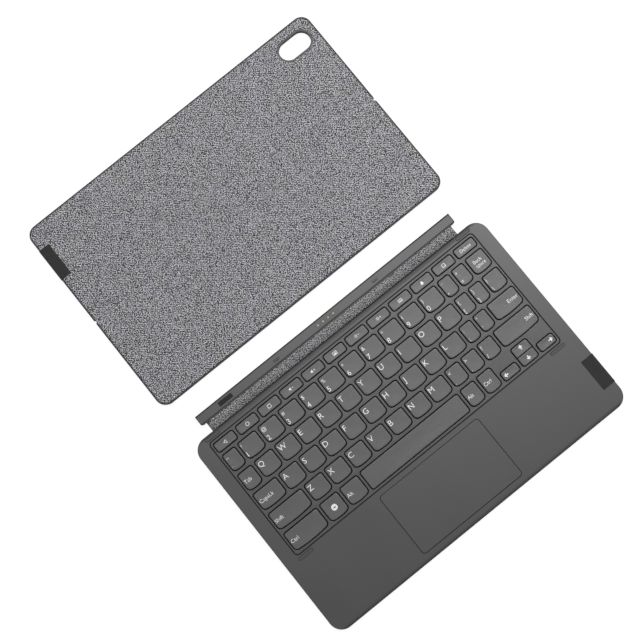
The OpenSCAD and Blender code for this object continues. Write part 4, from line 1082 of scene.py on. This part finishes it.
def lining(name, side, body, replaced):
    """The soft inside of one half, with a pressed edge."""

    def low(x, y):
        return turned_in(PRESS_DEPTH, min(border(x, y, side, CLOTH_INSET), abs(y - FOLD_Y) - HALF_END))

    rows = half_rows(side, HALF_END, CLOTH_INSET)
    obj = cloth(name, side, rows, lambda x, y: LINING_T - CLOTH_SINK, low)
    dress(obj, "lining", body, replaced)


lining("upper_lining", 1, "cover_panel", ["cover_lining"])
lining("kickstand_lining", -1, "kickstand", ["stand_lining"])


SELVEDGE_W, STRIP_SINK, HEM_DEPTH, HEM_W, WAVE = 1.7, 0.04, 0.12, 0.5, 0.03


def strip_half(name, y0, y1, replaced=()):
    """Half of the woven strip between the deck and the bar, between two places along it."""
    half = STRIP_W / 2
    xs = [-half, -half + 0.3] + spread(-half + SELVEDGE_W, half - 0.3, 2.5) + [half]
    rows = [[(x, y) for x in xs] for y in spread(y0, y1, 0.3)]

    def top(x, y):
        wave = WAVE * math.sin(x / 3.1) * math.sin(x / 7.3 + y)
        return STRIP_LOW + STRIP_T - STRIP_SINK - turned_in(HEM_DEPTH, half - abs(x), HEM_W) + wave

    obj = mesh(name, *grid_solid(rows, top, lambda x, y: STRIP_LOW))
    flat_uv(obj)
    dress(obj, "strip_weave", None, replaced)
    obj.data.materials.append(MATERIALS["selvedge"])
    for face in obj.data.polygons:
        if face.center.x < (SELVEDGE_W - half) * MM:
            face.material_index = 1
    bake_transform(obj)


strip_mid = DECK_BACK + STRIP_D / 2
strip_half("strip_deck_half", DECK_BACK + STRIP_GAP, strip_mid,
           ["hinge_fabric"])
strip_half("strip_bar_half", strip_mid, BAR_FRONT - STRIP_GAP)

# -------------------- small pieces
LABEL_W, LABEL_D, LABEL_T, LABEL_R = 12, 3.5, 0.04, 0.3
LABEL_X, LABEL_UP, LABEL_SINK = -91, 0.2, 0.02
label_outline = rounded(LABEL_X, BAR_Y + LABEL_UP, LABEL_W, LABEL_D, LABEL_R)
label = mesh("blank_label", *plate(label_outline, [], BAR_H - LABEL_SINK, BAR_H + LABEL_T, 0.02, 0.01))
dress(label, "label_film", "dock_bar")

# -------------------- picture
# the lamps and the camera are placed in metres
scene = bpy.context.scene
world = bpy.data.worlds.new("studio")
scene.world = world
world.use_nodes = True
background = world.node_tree.nodes["Background"]
background.inputs["Color"].default_value = (1, 1, 1, 1)
background.inputs["Strength"].default_value = 0.27

FLOOR_HALF, FLOOR_TOP, FLOOR_T = 4000, -0.02, 19.98
floor = mesh("floor", *box(-FLOOR_HALF, FLOOR_HALF, -FLOOR_HALF, FLOOR_HALF, FLOOR_TOP - FLOOR_T, FLOOR_TOP))
white = Shader("studio_floor", 1.0, specular=0.0)
path = white.node("LightPath")
shine = white.node("Emission", {"Color": (1, 1, 1, 1), "Strength": 1.05})
lit = white.node("BsdfDiffuse", {"Color": (1, 1, 1, 1)})
mixed = white.node("MixShader", {0: white.math("MULTIPLY", path.outputs["Is Camera Ray"], 0.86),
                                 1: lit.outputs[0], 2: shine.outputs[0]})
white.tree.links.new(mixed.outputs[0], white.tree.nodes["Material Output"].inputs["Surface"])
floor.data.materials.append(white.material)


def lamp(name, place, aim, size, power):
    """A square lamp, in metres and watts."""
    data = bpy.data.lights.new(name, "AREA")
    data.shape, data.size, data.energy = "SQUARE", size, power
    obj = bpy.data.objects.new(name, data)
    obj.location = place
    obj.rotation_euler = (Vector(aim) - Vector(place)).to_track_quat("-Z", "Y").to_euler()
    scene.collection.objects.link(obj)


lamp("key_light", (0.32, 0.6, 1.58), (0, 0.1, 0), 1.1, 18.4)
lamp("side_light", (0.46, 0.12, 0.55), (0, 0.1, 0), 0.35, 1.15)

DISTANCE, TILT, LEAN, TURN = 0.6373, 4.239, -109.6, -38.946
AIM = Vector((-0.003223, 0.09687, 0.0))
tilt, lean, turn = (math.radians(a) for a in (TILT, LEAN, TURN))
back = Vector((math.sin(tilt) * math.cos(lean), math.sin(tilt) * math.sin(lean), math.cos(tilt)))
right = Vector((0, 1, 0)).cross(back).normalized()
up = back.cross(right)
turned = (right * math.cos(turn) + up * math.sin(turn), up * math.cos(turn) - right * math.sin(turn), back)
camera_data = bpy.data.cameras.new("camera")
camera_data.lens, camera_data.sensor_width = 50.0, 36.0
camera_data.clip_start, camera_data.clip_end = 0.01, 20.0
camera = bpy.data.objects.new("camera", camera_data)
camera.matrix_world = Matrix.Translation(AIM + back * DISTANCE) @ Matrix(turned).transposed().to_4x4()
scene.collection.objects.link(camera)
scene.camera = camera
scene.view_settings.view_transform = "Standard"
scene.view_settings.look = "None"
